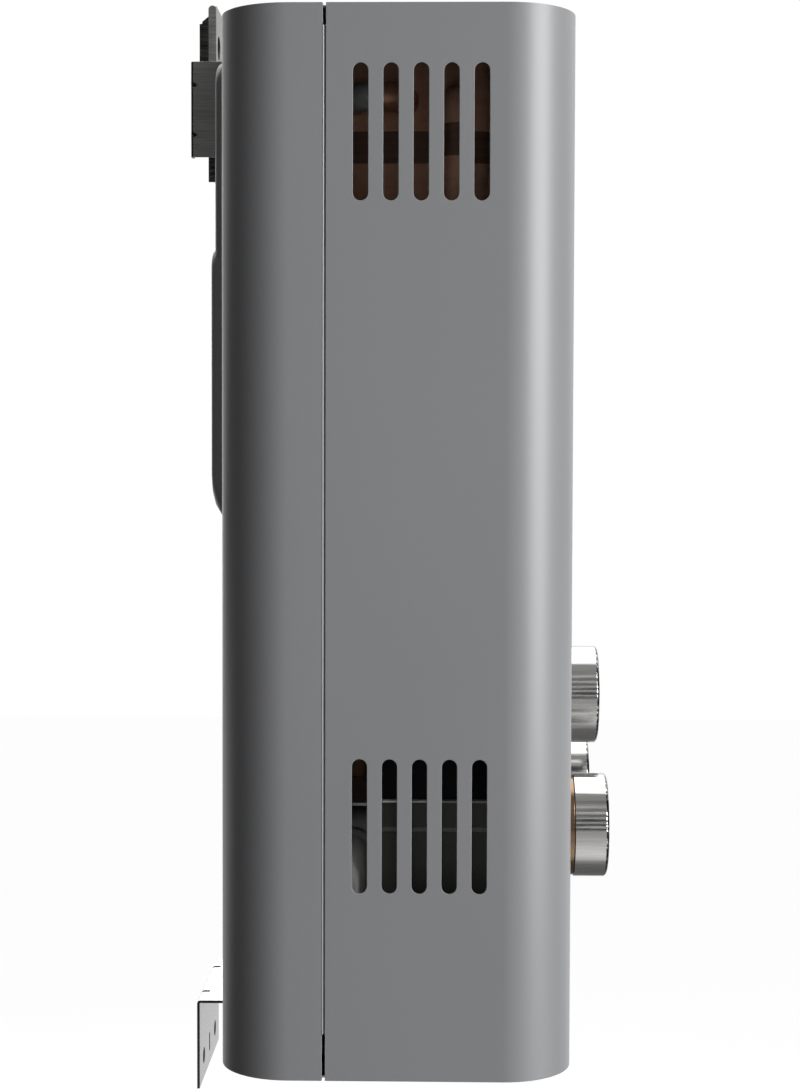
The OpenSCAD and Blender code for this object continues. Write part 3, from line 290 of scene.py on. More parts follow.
paper = Finish("studio_paper", Base_Color=(PAPER_GREY,) * 3, Roughness=0.9, Specular_IOR_Level=0.1)
seen = paper.node("ShaderNodeLightPath", {}, {}, "Is Camera Ray")
in_gloss = paper.node("ShaderNodeLightPath", {}, {}, "Is Glossy Ray")
across = paper.axis(0)
before_wall = paper.graded(paper.axis(1), *WALL_FADE, 1.0, GLOSS_NEAR)
near_side = paper.graded(across, *NEAR_FADE, 1.0, GLOSS_NEAR) * paper.graded(across, *SIDE_FADE, 0.5, 1.0)
far_side = paper.graded(across, *FAR_FADE, 0, GLOSS_FAR)
paper.set(
    Emission_Color=(1.0, 1.0, 1.0),
    Emission_Strength=seen * FLOOR_SEEN + in_gloss * (near_side * before_wall + far_side),
)
floor.data.materials.append(paper.material)
print("floor", FLOOR_DROP, "m under the casing")

# %% [markdown]
# ## World
# The world shows a different face to each kind of ray. The camera sees plain white, and the object gets only a
# faint even fill, so that the lamps shape it. Reflections see a room: dim at eye level and lighter higher up, with
# thin tilted strips on the camera's side that draw streaks on the bright metal, and a white sheet that stands on
# the far side and leans overhead. A picture of a studio could do the same, but a recipe can be read and changed.

# %% World nodes
world = bpy.data.worlds.new("studio_world")
bpy.context.scene.world = world
world.use_nodes = True
sky = world.node_tree
sky.nodes.clear()


def sky_node(kind, inputs, output=0, **settings):
    """Adds one node to the world, in the same way as a finish does."""
    new = sky.nodes.new(kind)
    for setting, value in settings.items():
        setattr(new, setting, value)
    for key, value in inputs.items():
        if isinstance(value, bpy.types.NodeSocket):
            sky.links.new(value, new.inputs[key])
        else:
            new.inputs[key].default_value = value
    return new.outputs[output]


rays = sky.nodes.new("ShaderNodeLightPath").outputs
direction = sky_node("ShaderNodeTexCoord", {}, "Generated")


def toward(x, y, z):
    """How far a ray goes along a direction."""
    return sky_node("ShaderNodeVectorMath", {0: direction, 1: (x, y, z)}, "Value", operation="DOT_PRODUCT")


def sky_graded(value, start, end, low, high):
    """A number that goes from low to high as the value goes from start to end."""
    return sky_node("ShaderNodeMapRange", {
        "Value": value, "From Min": start, "From Max": end, "To Min": low, "To Max": high,
    })


def sky_maths(operation, first, second=0.0):
    """One Math node in the world."""
    return sky_node("ShaderNodeMath", {0: first, 1: second}, operation=operation)


def sky_mix(factor, first, second):
    """Mixes two numbers in the world."""
    return sky_node("ShaderNodeMix", {0: factor, 2: first, 3: second})


print("world helpers ready")

# %% World
WORLD_FILL = 0.08
ROOM_DIM, ROOM_HIGH, ROOM_RISE = 0.05, 0.40, (0.3, 0.95)
STRIP_LIGHT, STRIP_TILT, STRIP_PITCH = 0.75, 3, 36.0
STRIP_EDGES, STRIP_SIDE, STRIP_TOP = (0.1, 0.8), (0, 0.3), (0.70, 0.85)
SHEET_WALL, SHEET_ABOVE, SHEET_RISE = 1.0, 3.0, (0.30, 0.60)
SHEET_LEAN, SHEET_EDGE = 0.8, (0.62, 0.80)

up = toward(0, 0, 1)
wave = sky_maths("SINE", toward(0, STRIP_TILT, STRIP_PITCH))
on_camera_side = sky_graded(toward(-1, 0, 0), *STRIP_SIDE, 0, 1)
below_top = sky_graded(up, *STRIP_TOP, 1, 0)
strips = sky_maths(
    "MULTIPLY", sky_graded(wave, *STRIP_EDGES, 0, STRIP_LIGHT), sky_maths("MULTIPLY", on_camera_side, below_top),
)
room = sky_maths("ADD", sky_graded(up, *ROOM_RISE, ROOM_DIM, ROOM_HIGH), strips)
on_sheet = sky_graded(toward(1, 0, SHEET_LEAN), *SHEET_EDGE, 0, 1)
reflected = sky_mix(on_sheet, room, sky_graded(up, *SHEET_RISE, SHEET_WALL, SHEET_ABOVE))
shiny = sky_maths("MAXIMUM", rays["Is Glossy Ray"], rays["Is Transmission Ray"])
strength = sky_mix(rays["Is Camera Ray"], sky_mix(shiny, WORLD_FILL, reflected), 1.0)
background = sky_node("ShaderNodeBackground", {"Color": (1, 1, 1, 1), "Strength": strength})
sky.links.new(background, sky.nodes.new("ShaderNodeOutputWorld").inputs["Surface"])
bpy.context.scene.view_settings.view_transform = "Standard"
print("world fill", WORLD_FILL)

# %% [markdown]
# ## Soft boxes
# The photograph is lit like a catalogue picture. One tall soft box in front and to the left draws the bright band
# on the casing's front edge, and a very weak one behind the far side keeps the back readable. The copper behind
# the slots gets little of their light, so a small weak box on the camera's side reaches in. It doesn't show in
# reflections, which leaves the highlights on the paint as they are.

# %% Soft boxes


def soft_box(name, bearing, distance, width, height, rise, level):
    """A soft box round the casing: bearing 0 is the photographed side, and 90 is the front.
    At level 1 a surface that faces it renders in its colour as written."""
    turn = math.radians(bearing)
    place = middle + distance * Vector((-math.cos(turn), -math.sin(turn), 0)) + Vector((0, 0, rise))
    bpy.ops.object.light_add(type="AREA", location=place)
    lamp = bpy.context.object
    lamp.name = name
    lamp.data.shape = "RECTANGLE"
    lamp.data.size, lamp.data.size_y = width, height
    lamp.data.energy = level * math.pi ** 2 * distance ** 2
    lamp.rotation_euler = (middle - place).to_track_quat("-Z", "Y").to_euler()
    print(name, "bearing", bearing, "energy", round(lamp.data.energy))
    return lamp


soft_box("key_box", bearing=57, distance=2.5, width=1.4, height=2.6, rise=0.75, level=2.1)
soft_box("rim_box", bearing=-165, distance=2.5, width=1.0, height=2.0, rise=0.6, level=0.12)
slot_fill = soft_box("slot_fill", bearing=0, distance=1.0, width=0.22, height=0.5, rise=0.0, level=0.10)
slot_fill.visible_glossy = False

# %% [markdown]
# ## Finishes
# Each material of the record gets one procedural finish. All patterns read Object coordinates in metres,
# so a repeat of 300 is a detail of about three millimetres. A texture painted on each part could show more, but
# these need no unwrapping and follow every part at its real size.
#
# The casing is sheet steel with a satin grey powder coat. Such a coat has a faint orange peel and a shade that
# drifts a little over the panels, so one noise bends the surface and a wide one moves the colour.

# %% Casing paint


def casing_paint():
    """Satin grey powder paint: a faint orange peel, and a shade that drifts a little over the panels."""
    paint = Finish("satin_grey_paint")
    drift = paint.noise(7, 2)
    grain = paint.noise(1400, 3, 0.6)
    peel = paint.noise(420, 2, 0.45)
    paint.set(
        Base_Color=paint.mix(drift, (0.180, 0.182, 0.188), (0.193, 0.1955, 0.202)),
        Roughness=0.33 + 0.06 * drift + 0.05 * grain,
        Normal=paint.bump(peel, 0.03, 0.35),
    )
    return paint.material


finish_of_slot = {"casing_paint": casing_paint()}
print("finish", finish_of_slot["casing_paint"].name)

# %% [markdown]
# ## Sheet metal
# The inner sheets are zinc-coated or stainless. A rolling mill leaves long marks in one direction, so the noise is
# stretched along it, and a round noise adds the soft blotches of the coat.

# %% Zinc-coated and stainless sheet
SHEET_DARK = 0.75


def sheet_metal(name, colour, brushed=(60, 60, 900)):
    """Bare sheet: rolling marks along the sheet and soft blotches in the coat."""
    coat = Finish(name, Metallic=1.0)
    marks = coat.noise(1, 4, 0.6, coat.stretched(*brushed))
    blotch = coat.noise(90, 3)
    dark = tuple(c * SHEET_DARK for c in colour)
    shade = coat.ramp(marks * 0.6 + blotch * 0.4, [(0.3, dark), (0.7, colour)])
    coat.set(Base_Color=shade, Roughness=0.30 + 0.20 * marks, Normal=coat.bump(marks, 0.02, 0.5))
    return coat.material


finish_of_slot["zinc_sheet"] = sheet_metal("zinc_coated_sheet", (0.58, 0.59, 0.60))
finish_of_slot["burner_steel"] = sheet_metal("stainless_sheet", (0.56, 0.55, 0.53), (900, 60, 60))
print("sheet finishes", [finish_of_slot[slot].name for slot in ("zinc_sheet", "burner_steel")])

# %% [markdown]
# ## Upper bracket and hanger strip
# The upper bracket is rolled zinc sheet. Its tongue is black in the photograph, and painted shade darkens the
# bends and two small dents on each side, where little light reaches. Masks from the height, the depth and the
# distance from the middle mark these places, which keeps them sharp at any picture size. The strip behind it is
# darker, and nearly black at its foot.

# %% Bracket and strip
BRACKET_TOP, BRACKET_HALF = 423.5, 58
# The bend and dent places below mark where painted shade darkens the bracket.
BEND_DEPTH, BEND_WIDTH = 1, 1
BRACKET_DENTS, DENT_SLOPE, DENT_HALF, DENT_WIDTH = (391.7, 413.3), 0.28, 0.95, 1.5
STRIP_FOOT_TOP = 387.5


def bracket_zinc():
    """The upper bracket: rolled zinc, black on its tongue, with painted shade on the bends and in the dents."""
    coat = Finish("bracket_zinc", Metallic=1.0)
    marks = coat.noise(1, 4, 0.6, coat.stretched(60, 60, 1400))
    aside = coat.aside()
    tongue = coat.height() > BRACKET_TOP
    at_wall = coat.depth() < BEND_DEPTH - WALL_GAP
    # Painted shade on the bends at the wall and in the dents, and the black of the tongue.
    dark_and_shaded = tongue + at_wall * (aside > BRACKET_HALF - BEND_WIDTH) * (1 - tongue)
    for dent in BRACKET_DENTS:
        in_dent = coat.height().off(dent) + DENT_SLOPE * (coat.depth() + WALL_GAP) < DENT_HALF
        dark_and_shaded = dark_and_shaded + in_dent * (aside > BRACKET_HALF - DENT_WIDTH)
    zinc_tone = coat.ramp(marks, [(0.3, (0.15, 0.15, 0.143)), (0.7, (0.23, 0.23, 0.218))])
    # One dark tone for the black tongue and for the painted shade.
    dark_and_shaded_tone = coat.ramp(marks, [(0.4, (0.015, 0.015, 0.015)), (0.75, (0.07, 0.07, 0.066))])
    coat.set(
        Base_Color=coat.mix(dark_and_shaded, zinc_tone, dark_and_shaded_tone),
        Roughness=0.34 + 0.2 * marks,
        Normal=coat.bump(marks, 0.03, 0.6),
    )
    return coat.material


def strip_zinc():
    """The hanger strip: dark rolled zinc, nearly black at its foot."""
    coat = Finish("strip_zinc", Metallic=1.0)
    marks = coat.noise(1, 4, 0.6, coat.stretched(120, 120, 1100))
    blotch = coat.noise(160, 3)
    foot = coat.height() < STRIP_FOOT_TOP
    shade = coat.ramp(marks * 0.7 + blotch * 0.3, [(0.3, (0.16, 0.16, 0.155)), (0.7, (0.34, 0.34, 0.33))])
    dark = coat.ramp(marks, [(0.35, (0.02, 0.02, 0.02)), (0.75, (0.14, 0.14, 0.135))])
    coat.set(
        Base_Color=coat.mix(foot, shade, dark),
        Roughness=0.30 + 0.2 * marks,
        Normal=coat.bump(marks, 0.03, 0.6),
    )
    return coat.material


special_finish = {"wall_bracket": bracket_zinc(), "hanger_strip": strip_zinc()}
print("special finishes on", list(special_finish))

# %% [markdown]
# ## Lower bracket
# The lower bracket is pale zinc with a fine speckle. Its cut edges are dark, and painted shade darkens its holes,
# its slot and its dents. The marks sit at the measured places of these, so they fit the CAD shape.

# %% Lower bracket
FOOT_HALF, FOOT_SHELF, FOOT_CUT_EDGE = 40, 4.5, 0.35
# Where the painted shade lies: the two holes, the slot between them and the dents over the holes.
FOOT_HOLE_X, FOOT_HOLE_HEIGHT, FOOT_HOLE_RADIUS = 23, -25.5, 3.5
FOOT_SLOT_WIDTH, FOOT_SLOT_LENGTH = 3, 8
FOOT_DENT_HALF, FOOT_DENT_DEPTH, FOOT_DENT_DROP = 1.5, 4, 1.6
HOLE_MARGIN, FLANGE_DROP = 0.25, 3


def foot_zinc():
    """The lower bracket: pale speckled zinc, dark on its cut edges, with painted shade in the holes, in the slot
    and on the dents.
    """
    coat = Finish("speckled_zinc", Metallic=1.0)
    speckle = coat.noise(700, 4, 0.7)
    aside = coat.aside()
    over_hole = aside.off(FOOT_HOLE_X) < FOOT_DENT_HALF
    near_wall = coat.depth() < FOOT_DENT_DEPTH - WALL_GAP
    on_shelf = coat.height() > FOOT_SHELF - FOOT_DENT_DROP
    # Dark cut edges, and painted shade on the dents, in the holes and in the slot.
    dark_and_shaded = (aside > FOOT_HALF - FOOT_CUT_EDGE) + over_hole * near_wall * on_shelf
    for x in (-FOOT_HOLE_X, FOOT_HOLE_X):
        in_hole = coat.from_axis(x, FOOT_HOLE_HEIGHT) < mm(FOOT_HOLE_RADIUS + HOLE_MARGIN)
        dark_and_shaded = dark_and_shaded + in_hole * (coat.height() < FOOT_SHELF - FLANGE_DROP)
    slot_wide = aside < FOOT_SLOT_WIDTH / 2 + HOLE_MARGIN
    dark_and_shaded = dark_and_shaded + slot_wide * (coat.height().off(FOOT_HOLE_HEIGHT) < FOOT_SLOT_LENGTH / 2 + HOLE_MARGIN)
    shade = coat.ramp(speckle, [(0.35, (0.50, 0.505, 0.51)), (0.60, (0.66, 0.66, 0.665))])
    coat.set(
        Base_Color=coat.mix(dark_and_shaded, shade, (0.035, 0.035, 0.035)),
        Metallic=coat.graded(dark_and_shaded, 0, 1, 1, 0),
        Roughness=0.34 + 0.2 * speckle + 0.4 * dark_and_shaded,
        Normal=coat.bump(speckle, 0.03, 0.5),
    )
    return coat.material


special_finish["lower_bracket"] = foot_zinc()
print("special finish on lower_bracket")

# %% [markdown]
# ## Copper and its bends
# The heat exchanger is copper that has been through the solder furnace. It is browner in blotches and keeps faint
# drawing marks, and painted shade makes it almost black in the recess between the fin block and the chamber. The
# return bend on the photographed side looks grey, as if dipped in tin, so it is copper only in its middle.

# %% Copper and tin
# The band of painted shade between the fin block and the chamber, in millimetres of height, and how dark it is.
JOINT_SHADE_BAND = (376, 389.6)
JOINT_SHADE, DRAWN_DARK = 0.72, 0.25
BEND_MIDDLE, BEND_BARE_HALF, TIN_RAGGED = 74, 13, 4


def copper():
    """Dull furnace copper, blotched, with faint drawing marks and an almost black band of painted shade in the
    recess between fin block and chamber.
    """
    metal = Finish("furnace_copper", Metallic=0.2)
    heat = metal.noise(35, 4, 0.6)
    fine = metal.noise(600, 2)
    drawn = metal.noise(1, 3, 0.6, metal.stretched(60, 60, 700))
    shade = metal.ramp(heat, [
        (0.30, (0.50, 0.25, 0.155)), (0.50, (0.68, 0.37, 0.24)), (0.72, (0.80, 0.47, 0.33)),
    ])
    # Painted shade: an almost black band in the recess between the fin block and the chamber.
    joint_shade = (metal.height() > JOINT_SHADE_BAND[0]) * (metal.height() < JOINT_SHADE_BAND[1])
    metal.set(
        Base_Color=metal.mix(joint_shade * JOINT_SHADE + drawn * DRAWN_DARK, shade, (0.05, 0.03, 0.024)),
        Roughness=0.36 + 0.25 * heat + 0.05 * fine,
        Normal=metal.bump(fine, 0.02, 0.3),
    )
    return metal.material


def tinned_bend():
    """A return bend: copper in its middle and grey with tin towards both ends."""
    metal = Finish("tinned_bend", Metallic=0.5)
    smear = metal.noise(200, 3)
    tinned = metal.depth().off(BEND_MIDDLE) > BEND_BARE_HALF + TIN_RAGGED * smear
    tin_tone = metal.mix(smear, (0.42, 0.45, 0.43), (0.60, 0.63, 0.61))
    metal.set(
        Base_Color=metal.mix(tinned, (0.62, 0.33, 0.21), tin_tone),
        Roughness=0.32 + 0.2 * smear,
        Normal=metal.bump(smear, 0.03, 0.4),
    )
    return metal.material


finish_of_slot["copper"] = copper()
special_finish["return_bend_left"] = tinned_bend()
print("finishes", finish_of_slot["copper"].name, "and", special_finish["return_bend_left"].name)

# %% [markdown]
# ## Igniter box
# The lower slots show a pale box with a black lid, with a painted highlight for the bright line along the seam and
# for the paler rib, where their edges catch the light. Only bands of it are seen, so one material with masks by
# height is enough. The painted highlight fades towards the front and painted shade darkens the case towards the
# back, as in the photograph.

# %% Igniter box
# Where the painted highlights lie, and where the highlight fades and the painted shade falls, in millimetres.
IGNITER_SEAM, SEAM_DROP, SEAM_HALF = 107.4, 0.4, 0.5
IGNITER_RIB, RIB_HALF = 95.3, 1.1
SEAM_HIGHLIGHT_FADE, REAR_SHADE = (84, 92), (74, 80)


def igniter_case():
    """The igniter box: a pale case and a black lid, with painted highlights under the lid and on the rib, and
    painted shade at the back.
    """
    case = Finish("igniter_case", Specular_IOR_Level=0.2)
    grain = case.noise(900, 3)
    rise = case.height()
    # Painted highlight: a bright strip just under the lid, fading towards the front.
    seam_highlight = (rise.off(IGNITER_SEAM - SEAM_DROP) < SEAM_HALF) * case.graded(case.depth(), *SEAM_HIGHLIGHT_FADE, 1, 0.5)
    body = case.mix(grain, (0.11, 0.11, 0.10), (0.15, 0.15, 0.14))
    # Painted highlight on the rib.
    body = case.mix(rise.off(IGNITER_RIB) < RIB_HALF, body, (0.28, 0.28, 0.265))
    # Painted shade towards the back of the case.
    body = case.mix(case.graded(case.depth(), *REAR_SHADE, 0.5, 0), body, (0.01, 0.01, 0.01))
    body = case.mix(rise > IGNITER_SEAM, body, (0.003, 0.003, 0.003))
    case.set(
        Base_Color=case.mix(seam_highlight, body, (0.95, 0.95, 0.93)),
        Roughness=0.42 + 0.2 * grain,
        Normal=case.bump(grain, 0.03, 0.4),
    )
    return case.material


special_finish["igniter_box"] = igniter_case()
print("special finish on igniter_box")

# %% [markdown]
# ## Castings and mouldings
# The fittings are machined brass and the valves cast aluminium: both keep a fine grain under a dull, uneven skin.
# The plastic parts and the painted gas pipe have a finer and evener grain, as a spark-eroded mould leaves it.

# %% Castings and mouldings
SKIN_DARK, GRAIN_DARK = 0.72, 0.85


def cast(name, colour, rough):
    """A cast metal: a fine grain from the mould and a dull, uneven skin."""
    metal = Finish(name, Metallic=1.0)
    grain = metal.noise(900, 3, 0.6)
    skin = metal.noise(60, 3)
    shade = metal.mix(skin, tuple(c * SKIN_DARK for c in colour), colour)
    metal.set(Base_Color=shade, Roughness=rough + 0.15 * grain, Normal=metal.bump(grain, 0.05, 0.4))
    return metal.material


def plastic(name, colour, rough):
    """A smooth skin with a fine even grain, for moulded plastic and for paint on a tube."""
    body = Finish(name)
    grain = body.noise(1600, 2)
    shade = body.mix(grain, tuple(c * GRAIN_DARK for c in colour), colour)
    body.set(Base_Color=shade, Roughness=rough + 0.1 * grain, Normal=body.bump(grain, 0.02, 0.4))
    return body.material


finish_of_slot["brass"] = cast("machined_brass", (0.66, 0.47, 0.20), 0.22)
finish_of_slot["cast_alloy"] = cast("cast_aluminium", (0.56, 0.57, 0.58), 0.38)
finish_of_slot["black_plastic"] = plastic("black_plastic", (0.022, 0.022, 0.023), 0.45)
finish_of_slot["lid_plastic"] = plastic("lid_plastic", (0.165, 0.168, 0.175), 0.38)
special_finish["gas_pipe"] = plastic("silver_painted_tube", (0.95, 0.95, 0.90), 0.45)
print("cast and moulded finishes ready,", len(finish_of_slot), "slots so far")

# %% [markdown]
# ## Knob metal and rose gold
# A knob is brushed along its axis on the side, spun in rings on the face and polished on the rim, and the lower
# half of its side is duller. Painted reflection bands on the side and near-black streaks on the rim, which break
# its highlight into painted glints, stand in for streaks of mirrored light. The distance from the knob's axis
# tells face, rim and side apart, so each knob needs its own material with its own axis. The base rings are
# anodised rose gold with a soft grain.

# %% Knob sizes and metal
KNOB_PLACES = {"gas": (-60, 89.7), "water": (60, 89.7), "season": (0, 140.5)}
KNOB_RADIUS, KNOB_RIM = 22.5, 1.2
KNOB_OUT, RING_OUT = 18.9, 4.5
FACE_RINGS = 5000.0
DULL_FADE = (2, -4)
RIM_ROUGH = 0.12


def knob_metal(name, x, height):
    """Aluminium, brushed on the side with painted reflection bands, spun on the face and polished on the rim with
    painted glints, for a knob at a place.
    """
    metal = Finish(name, Metallic=1.0)
    radius = metal.from_axis(x, height)
    face = radius < mm(KNOB_RADIUS - KNOB_RIM)
    rim = (metal.depth() > BODY_DEPTH + KNOB_OUT - KNOB_RIM) * (1 - face)
    streaks = metal.noise(1, 3, 0.65, metal.stretched(900, 25, 900))
    # Painted reflection: wide bands in the side's colour stand in for streaks of mirrored light.
    reflection_bands = metal.noise(1, 2, 0.5, metal.stretched(260, 6, 260))
    spun = {"W": radius, "Scale": FACE_RINGS, "Detail": 2.0}
    marks = streaks * (1 - face) + metal.node("ShaderNodeTexNoise", {"noise_dimensions": "1D"}, spun) * face
    dull = metal.graded(metal.height() - height, *DULL_FADE, 0, 1) * (1 - face)
    side_tone = metal.ramp(marks * 0.6 + reflection_bands * 0.4, [
        (0.30, (0.40, 0.395, 0.385)), (0.50, (0.52, 0.515, 0.50)), (0.70, (0.62, 0.615, 0.60)),
    ])
    # Painted glints: near-black streaks on the polished rim break its highlight into sparkles.
    rim_glint_tone = metal.ramp(streaks, [(0.50, (0.03, 0.03, 0.03)), (0.60, (0.55, 0.55, 0.54))])
    metal.set(
        Base_Color=metal.mix(rim, side_tone, rim_glint_tone),
        Roughness=(0.07 + 0.10 * marks + 0.14 * dull) * (1 - rim) + RIM_ROUGH * rim,
        Normal=metal.bump(marks, 0.03, 1.0),
    )
    return metal.material


def rose_gold():
    """Anodised rose gold with a soft grain."""
    metal = Finish("rose_gold", Metallic=1.0)
    grain = metal.noise(700, 2)
    shade = metal.mix(grain, (0.20, 0.130, 0.075), (0.29, 0.190, 0.115))
    metal.set(Base_Color=shade, Roughness=0.16 + 0.1 * grain)
    return metal.material


finish_of_slot["knob_metal"] = knob_metal("knob_aluminium", *KNOB_PLACES["season"])
finish_of_slot["rose_gold"] = rose_gold()
print("knobs", list(KNOB_PLACES), "of", 2 * KNOB_RADIUS, "mm")

# %% [markdown]
# ## Glass and ceramic
# The sight window is smoked glass, nearly black, and the electrodes stand in white glazed ceramic. Clear glass
# would need a flame behind it to look right, and no glass shows in the photograph, so a dark glossy coat stands
# in for it.

# %% Glass and ceramic


def smoked_glass():
    """The sight glass: nearly black, with an uneven trace of tint."""
    glass = Finish("smoked_glass", Coat_Weight=1.0, Coat_Roughness=0.02)
    haze = glass.noise(120, 2)
    tint = glass.mix(haze, (0.010, 0.010, 0.012), (0.022, 0.022, 0.026))
    glass.set(Base_Color=tint, Roughness=0.06 + 0.05 * haze)
    return glass.material


def glazed_white():
    """White electrode ceramic with a thin glaze."""
    body = Finish("white_ceramic", Coat_Weight=0.6)
    speck = body.noise(500, 3)
    body.set(Base_Color=body.mix(speck, (0.70, 0.69, 0.66), (0.84, 0.83, 0.80)), Roughness=0.28 + 0.1 * speck)
    return body.material


finish_of_slot["dark_glass"] = smoked_glass()
finish_of_slot["ceramic"] = glazed_white()
print(len(finish_of_slot), "slots and", len(special_finish), "special pieces have a finish")

# %% [markdown]
# ## A finish for every solid
# The record names a material slot for each solid. The slot's finish goes on all of its solids, and the few pieces
# with marks of their own get their special one instead.

# %% Give each CAD node its finish
slot_of_node = {part["node"]: part["material_slot"] for part in frame["record"]["subparts"]}
finish_of_node = {name: finish_of_slot[slot] for name, slot in slot_of_node.items()}
finish_of_node.update(special_finish)
for name, node in nodes.items():
    node.material_slots[0].material = finish_of_node[name]
print("finishes on", len(nodes), "nodes")

# %% [markdown]
# ## Working on one piece at a time
# An operator acts on everything that is selected, so each step first makes one piece the only selected one.
# In edit mode, faces and edges are picked in code by their place or direction, where a person would click them.

# %% Selecting
PICK_MODES = {"verts": (True, False, False), "edges": (False, True, False), "faces": (False, False, True)}


def alone(piece):
    """Makes one piece the only selected and the active object."""
    bpy.ops.object.select_all(action="DESELECT")
    piece.select_set(True)
    bpy.context.view_layer.objects.active = piece


def pick(piece, kind, test):
    """In edit mode, selects only the verts, edges or faces that pass a test."""
    bpy.context.tool_settings.mesh_select_mode = PICK_MODES[kind]
    bpy.ops.mesh.select_all(action="DESELECT")
    shape = bmesh.from_edit_mesh(piece.data)
    for part in getattr(shape, kind):
        if test(part):
            part.select_set(True)
    shape.select_flush_mode()
    bmesh.update_edit_mesh(piece.data)


def settle(piece, body, material, stands_for=()):
    """Puts a finished piece at the origin, gives it its finish and lets it ride on its body."""
    alone(piece)
    bpy.ops.object.transform_apply(location=True, rotation=True, scale=True)
    piece.data.materials.clear()
    piece.data.materials.append(material)
    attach(piece, body)
    if stands_for:
        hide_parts(*stands_for)
    print(piece.name, len(piece.data.polygons), "faces on", body)


print("selecting helpers ready")

# %% [markdown]
# ## Sheet metal with real edges
# A folded or stamped sheet never has a knife edge: its small rounding catches the light as a thin bright line.
# The CAD solids have sharp edges. Modelling each sheet again would only repeat the CAD, so a copy of its mesh is
# merged, its flat triangles are joined, and a narrow bevel rounds the edges. Normals weighted by area keep the
# flats flat.

# %% Rounded copies
MERGE_GAP = 0.005
FLAT_ANGLE = 0.6
SHEET_EDGES = {
    "front_cover": 0.32, "rear_casing": 0.32, "top_grille": 0.25, "bottom_plate": 0.25,
    "wall_bracket": 0.25, "hanger_strip": 0.3, "lower_bracket": 0.3, "battery_lid": 0.4, "igniter_box": 0.5,
}


def rounded_copy(node, name, width, segments=2, sharp=38):
    """A copy of a CAD node with its doubles merged and its sharp edges rounded by a bevel, in millimetres."""
    copy = bpy.data.objects.new(name, nodes[node].data.copy())
    bpy.context.scene.collection.objects.link(copy)
    alone(copy)
    bpy.ops.mesh.customdata_custom_splitnormals_clear()
    bpy.ops.object.mode_set(mode="EDIT")
    bpy.ops.mesh.select_all(action="SELECT")
    bpy.ops.mesh.remove_doubles(threshold=mm(MERGE_GAP))
    bpy.ops.mesh.dissolve_limited(angle_limit=math.radians(FLAT_ANGLE))
    bpy.ops.object.mode_set(mode="OBJECT")
    bpy.ops.object.modifier_add(type="BEVEL")
    bevel = copy.modifiers[-1]
    bevel.width = mm(width)
    bevel.segments = segments
    bevel.limit_method = "ANGLE"
    bevel.angle_limit = math.radians(sharp)
    bevel.use_clamp_overlap = False
    bpy.ops.object.modifier_apply(modifier=bevel.name)
    bpy.ops.object.shade_smooth_by_angle(angle=math.radians(sharp))
    bpy.ops.object.modifier_add(type="WEIGHTED_NORMAL")
    weighted = copy.modifiers[-1]
    weighted.weight = 100
    weighted.keep_sharp = True
    bpy.ops.object.modifier_apply(modifier=weighted.name)
    return copy


for node, width in SHEET_EDGES.items():
    body = "lid" if node == "battery_lid" else "heater"
    settle(rounded_copy(node, node + "_rounded", width), body, finish_of_node[node], (node,))

# %% [markdown]
# ## Knobs
# Each knob is a turned aluminium cap: a brushed side, a narrow polished rim, and a slightly dished face with a
# pointer groove. A lathe makes it from a bar, and a cylinder shaped from its front face follows the same order of
# cuts. Each rim step goes out by a length and ends on a radius, and each face step goes in by a length and sinks
# or rises by another, all in millimetres. A milled groove is easiest to cut with a Boolean. The first knob is
# modelled in place and the others are copies, each with its own mesh.

# %% Turned knob
RIM_STEPS = ((0.5, 22.25), (0.4, 21.85), (0.3, 21.3))
FACE_STEPS = ((1.0, 0), (0.25, -0.45), (0.5, -0.15), (6, 0.1), (6, 0.1), (4, 0.05))
KNOB_FACETS = 128


def turned_knob():
    """The season knob, from a cylinder: rim, land and dished face."""
    x, height = KNOB_PLACES["season"]
    back, front = BODY_DEPTH + RING_OUT, BODY_DEPTH + KNOB_OUT
    side = front - KNOB_RIM - back
    bpy.ops.object.select_all(action="DESELECT")
    bpy.ops.mesh.primitive_cylinder_add(
        vertices=KNOB_FACETS, radius=mm(KNOB_RADIUS), depth=mm(side), end_fill_type="NGON",
        location=at(x, back + side / 2, height), rotation=(math.radians(90), 0, 0),
    )
    knob = bpy.context.object
    knob.name = "season_knob_turned"
    bpy.ops.object.transform_apply(location=True, rotation=True, scale=True)
    axis = at(x, front, height)
    bpy.ops.object.mode_set(mode="EDIT")
    pick(knob, "faces", lambda face: face.normal.y < -0.9)
    for outward, radius in RIM_STEPS:
        bpy.ops.mesh.extrude_region_move(TRANSFORM_OT_translate={"value": (0, -mm(outward), 0)})
        shape = bmesh.from_edit_mesh(knob.data)
        face_radius = max((v.co - axis).xz.length for v in shape.verts if v.select)
        shrink = mm(radius) / face_radius
        bpy.ops.transform.resize(value=(shrink, 1, shrink), center_override=axis)
    for inwards, sunk in FACE_STEPS:
        bpy.ops.mesh.inset(thickness=mm(inwards), depth=mm(sunk), use_even_offset=True)
    bpy.ops.object.mode_set(mode="OBJECT")
    return knob


season_knob = turned_knob()
print(season_knob.name, len(season_knob.data.polygons), "faces before its groove")

# %% Pointer groove
POINTER_SIZE = (mm(1.6), mm(1.8), mm(7))
POINTER_BACK, POINTER_RISE, POINTER_ROUND = 0.3, 15.5, 0.75
POINTER_SMOOTH = 25


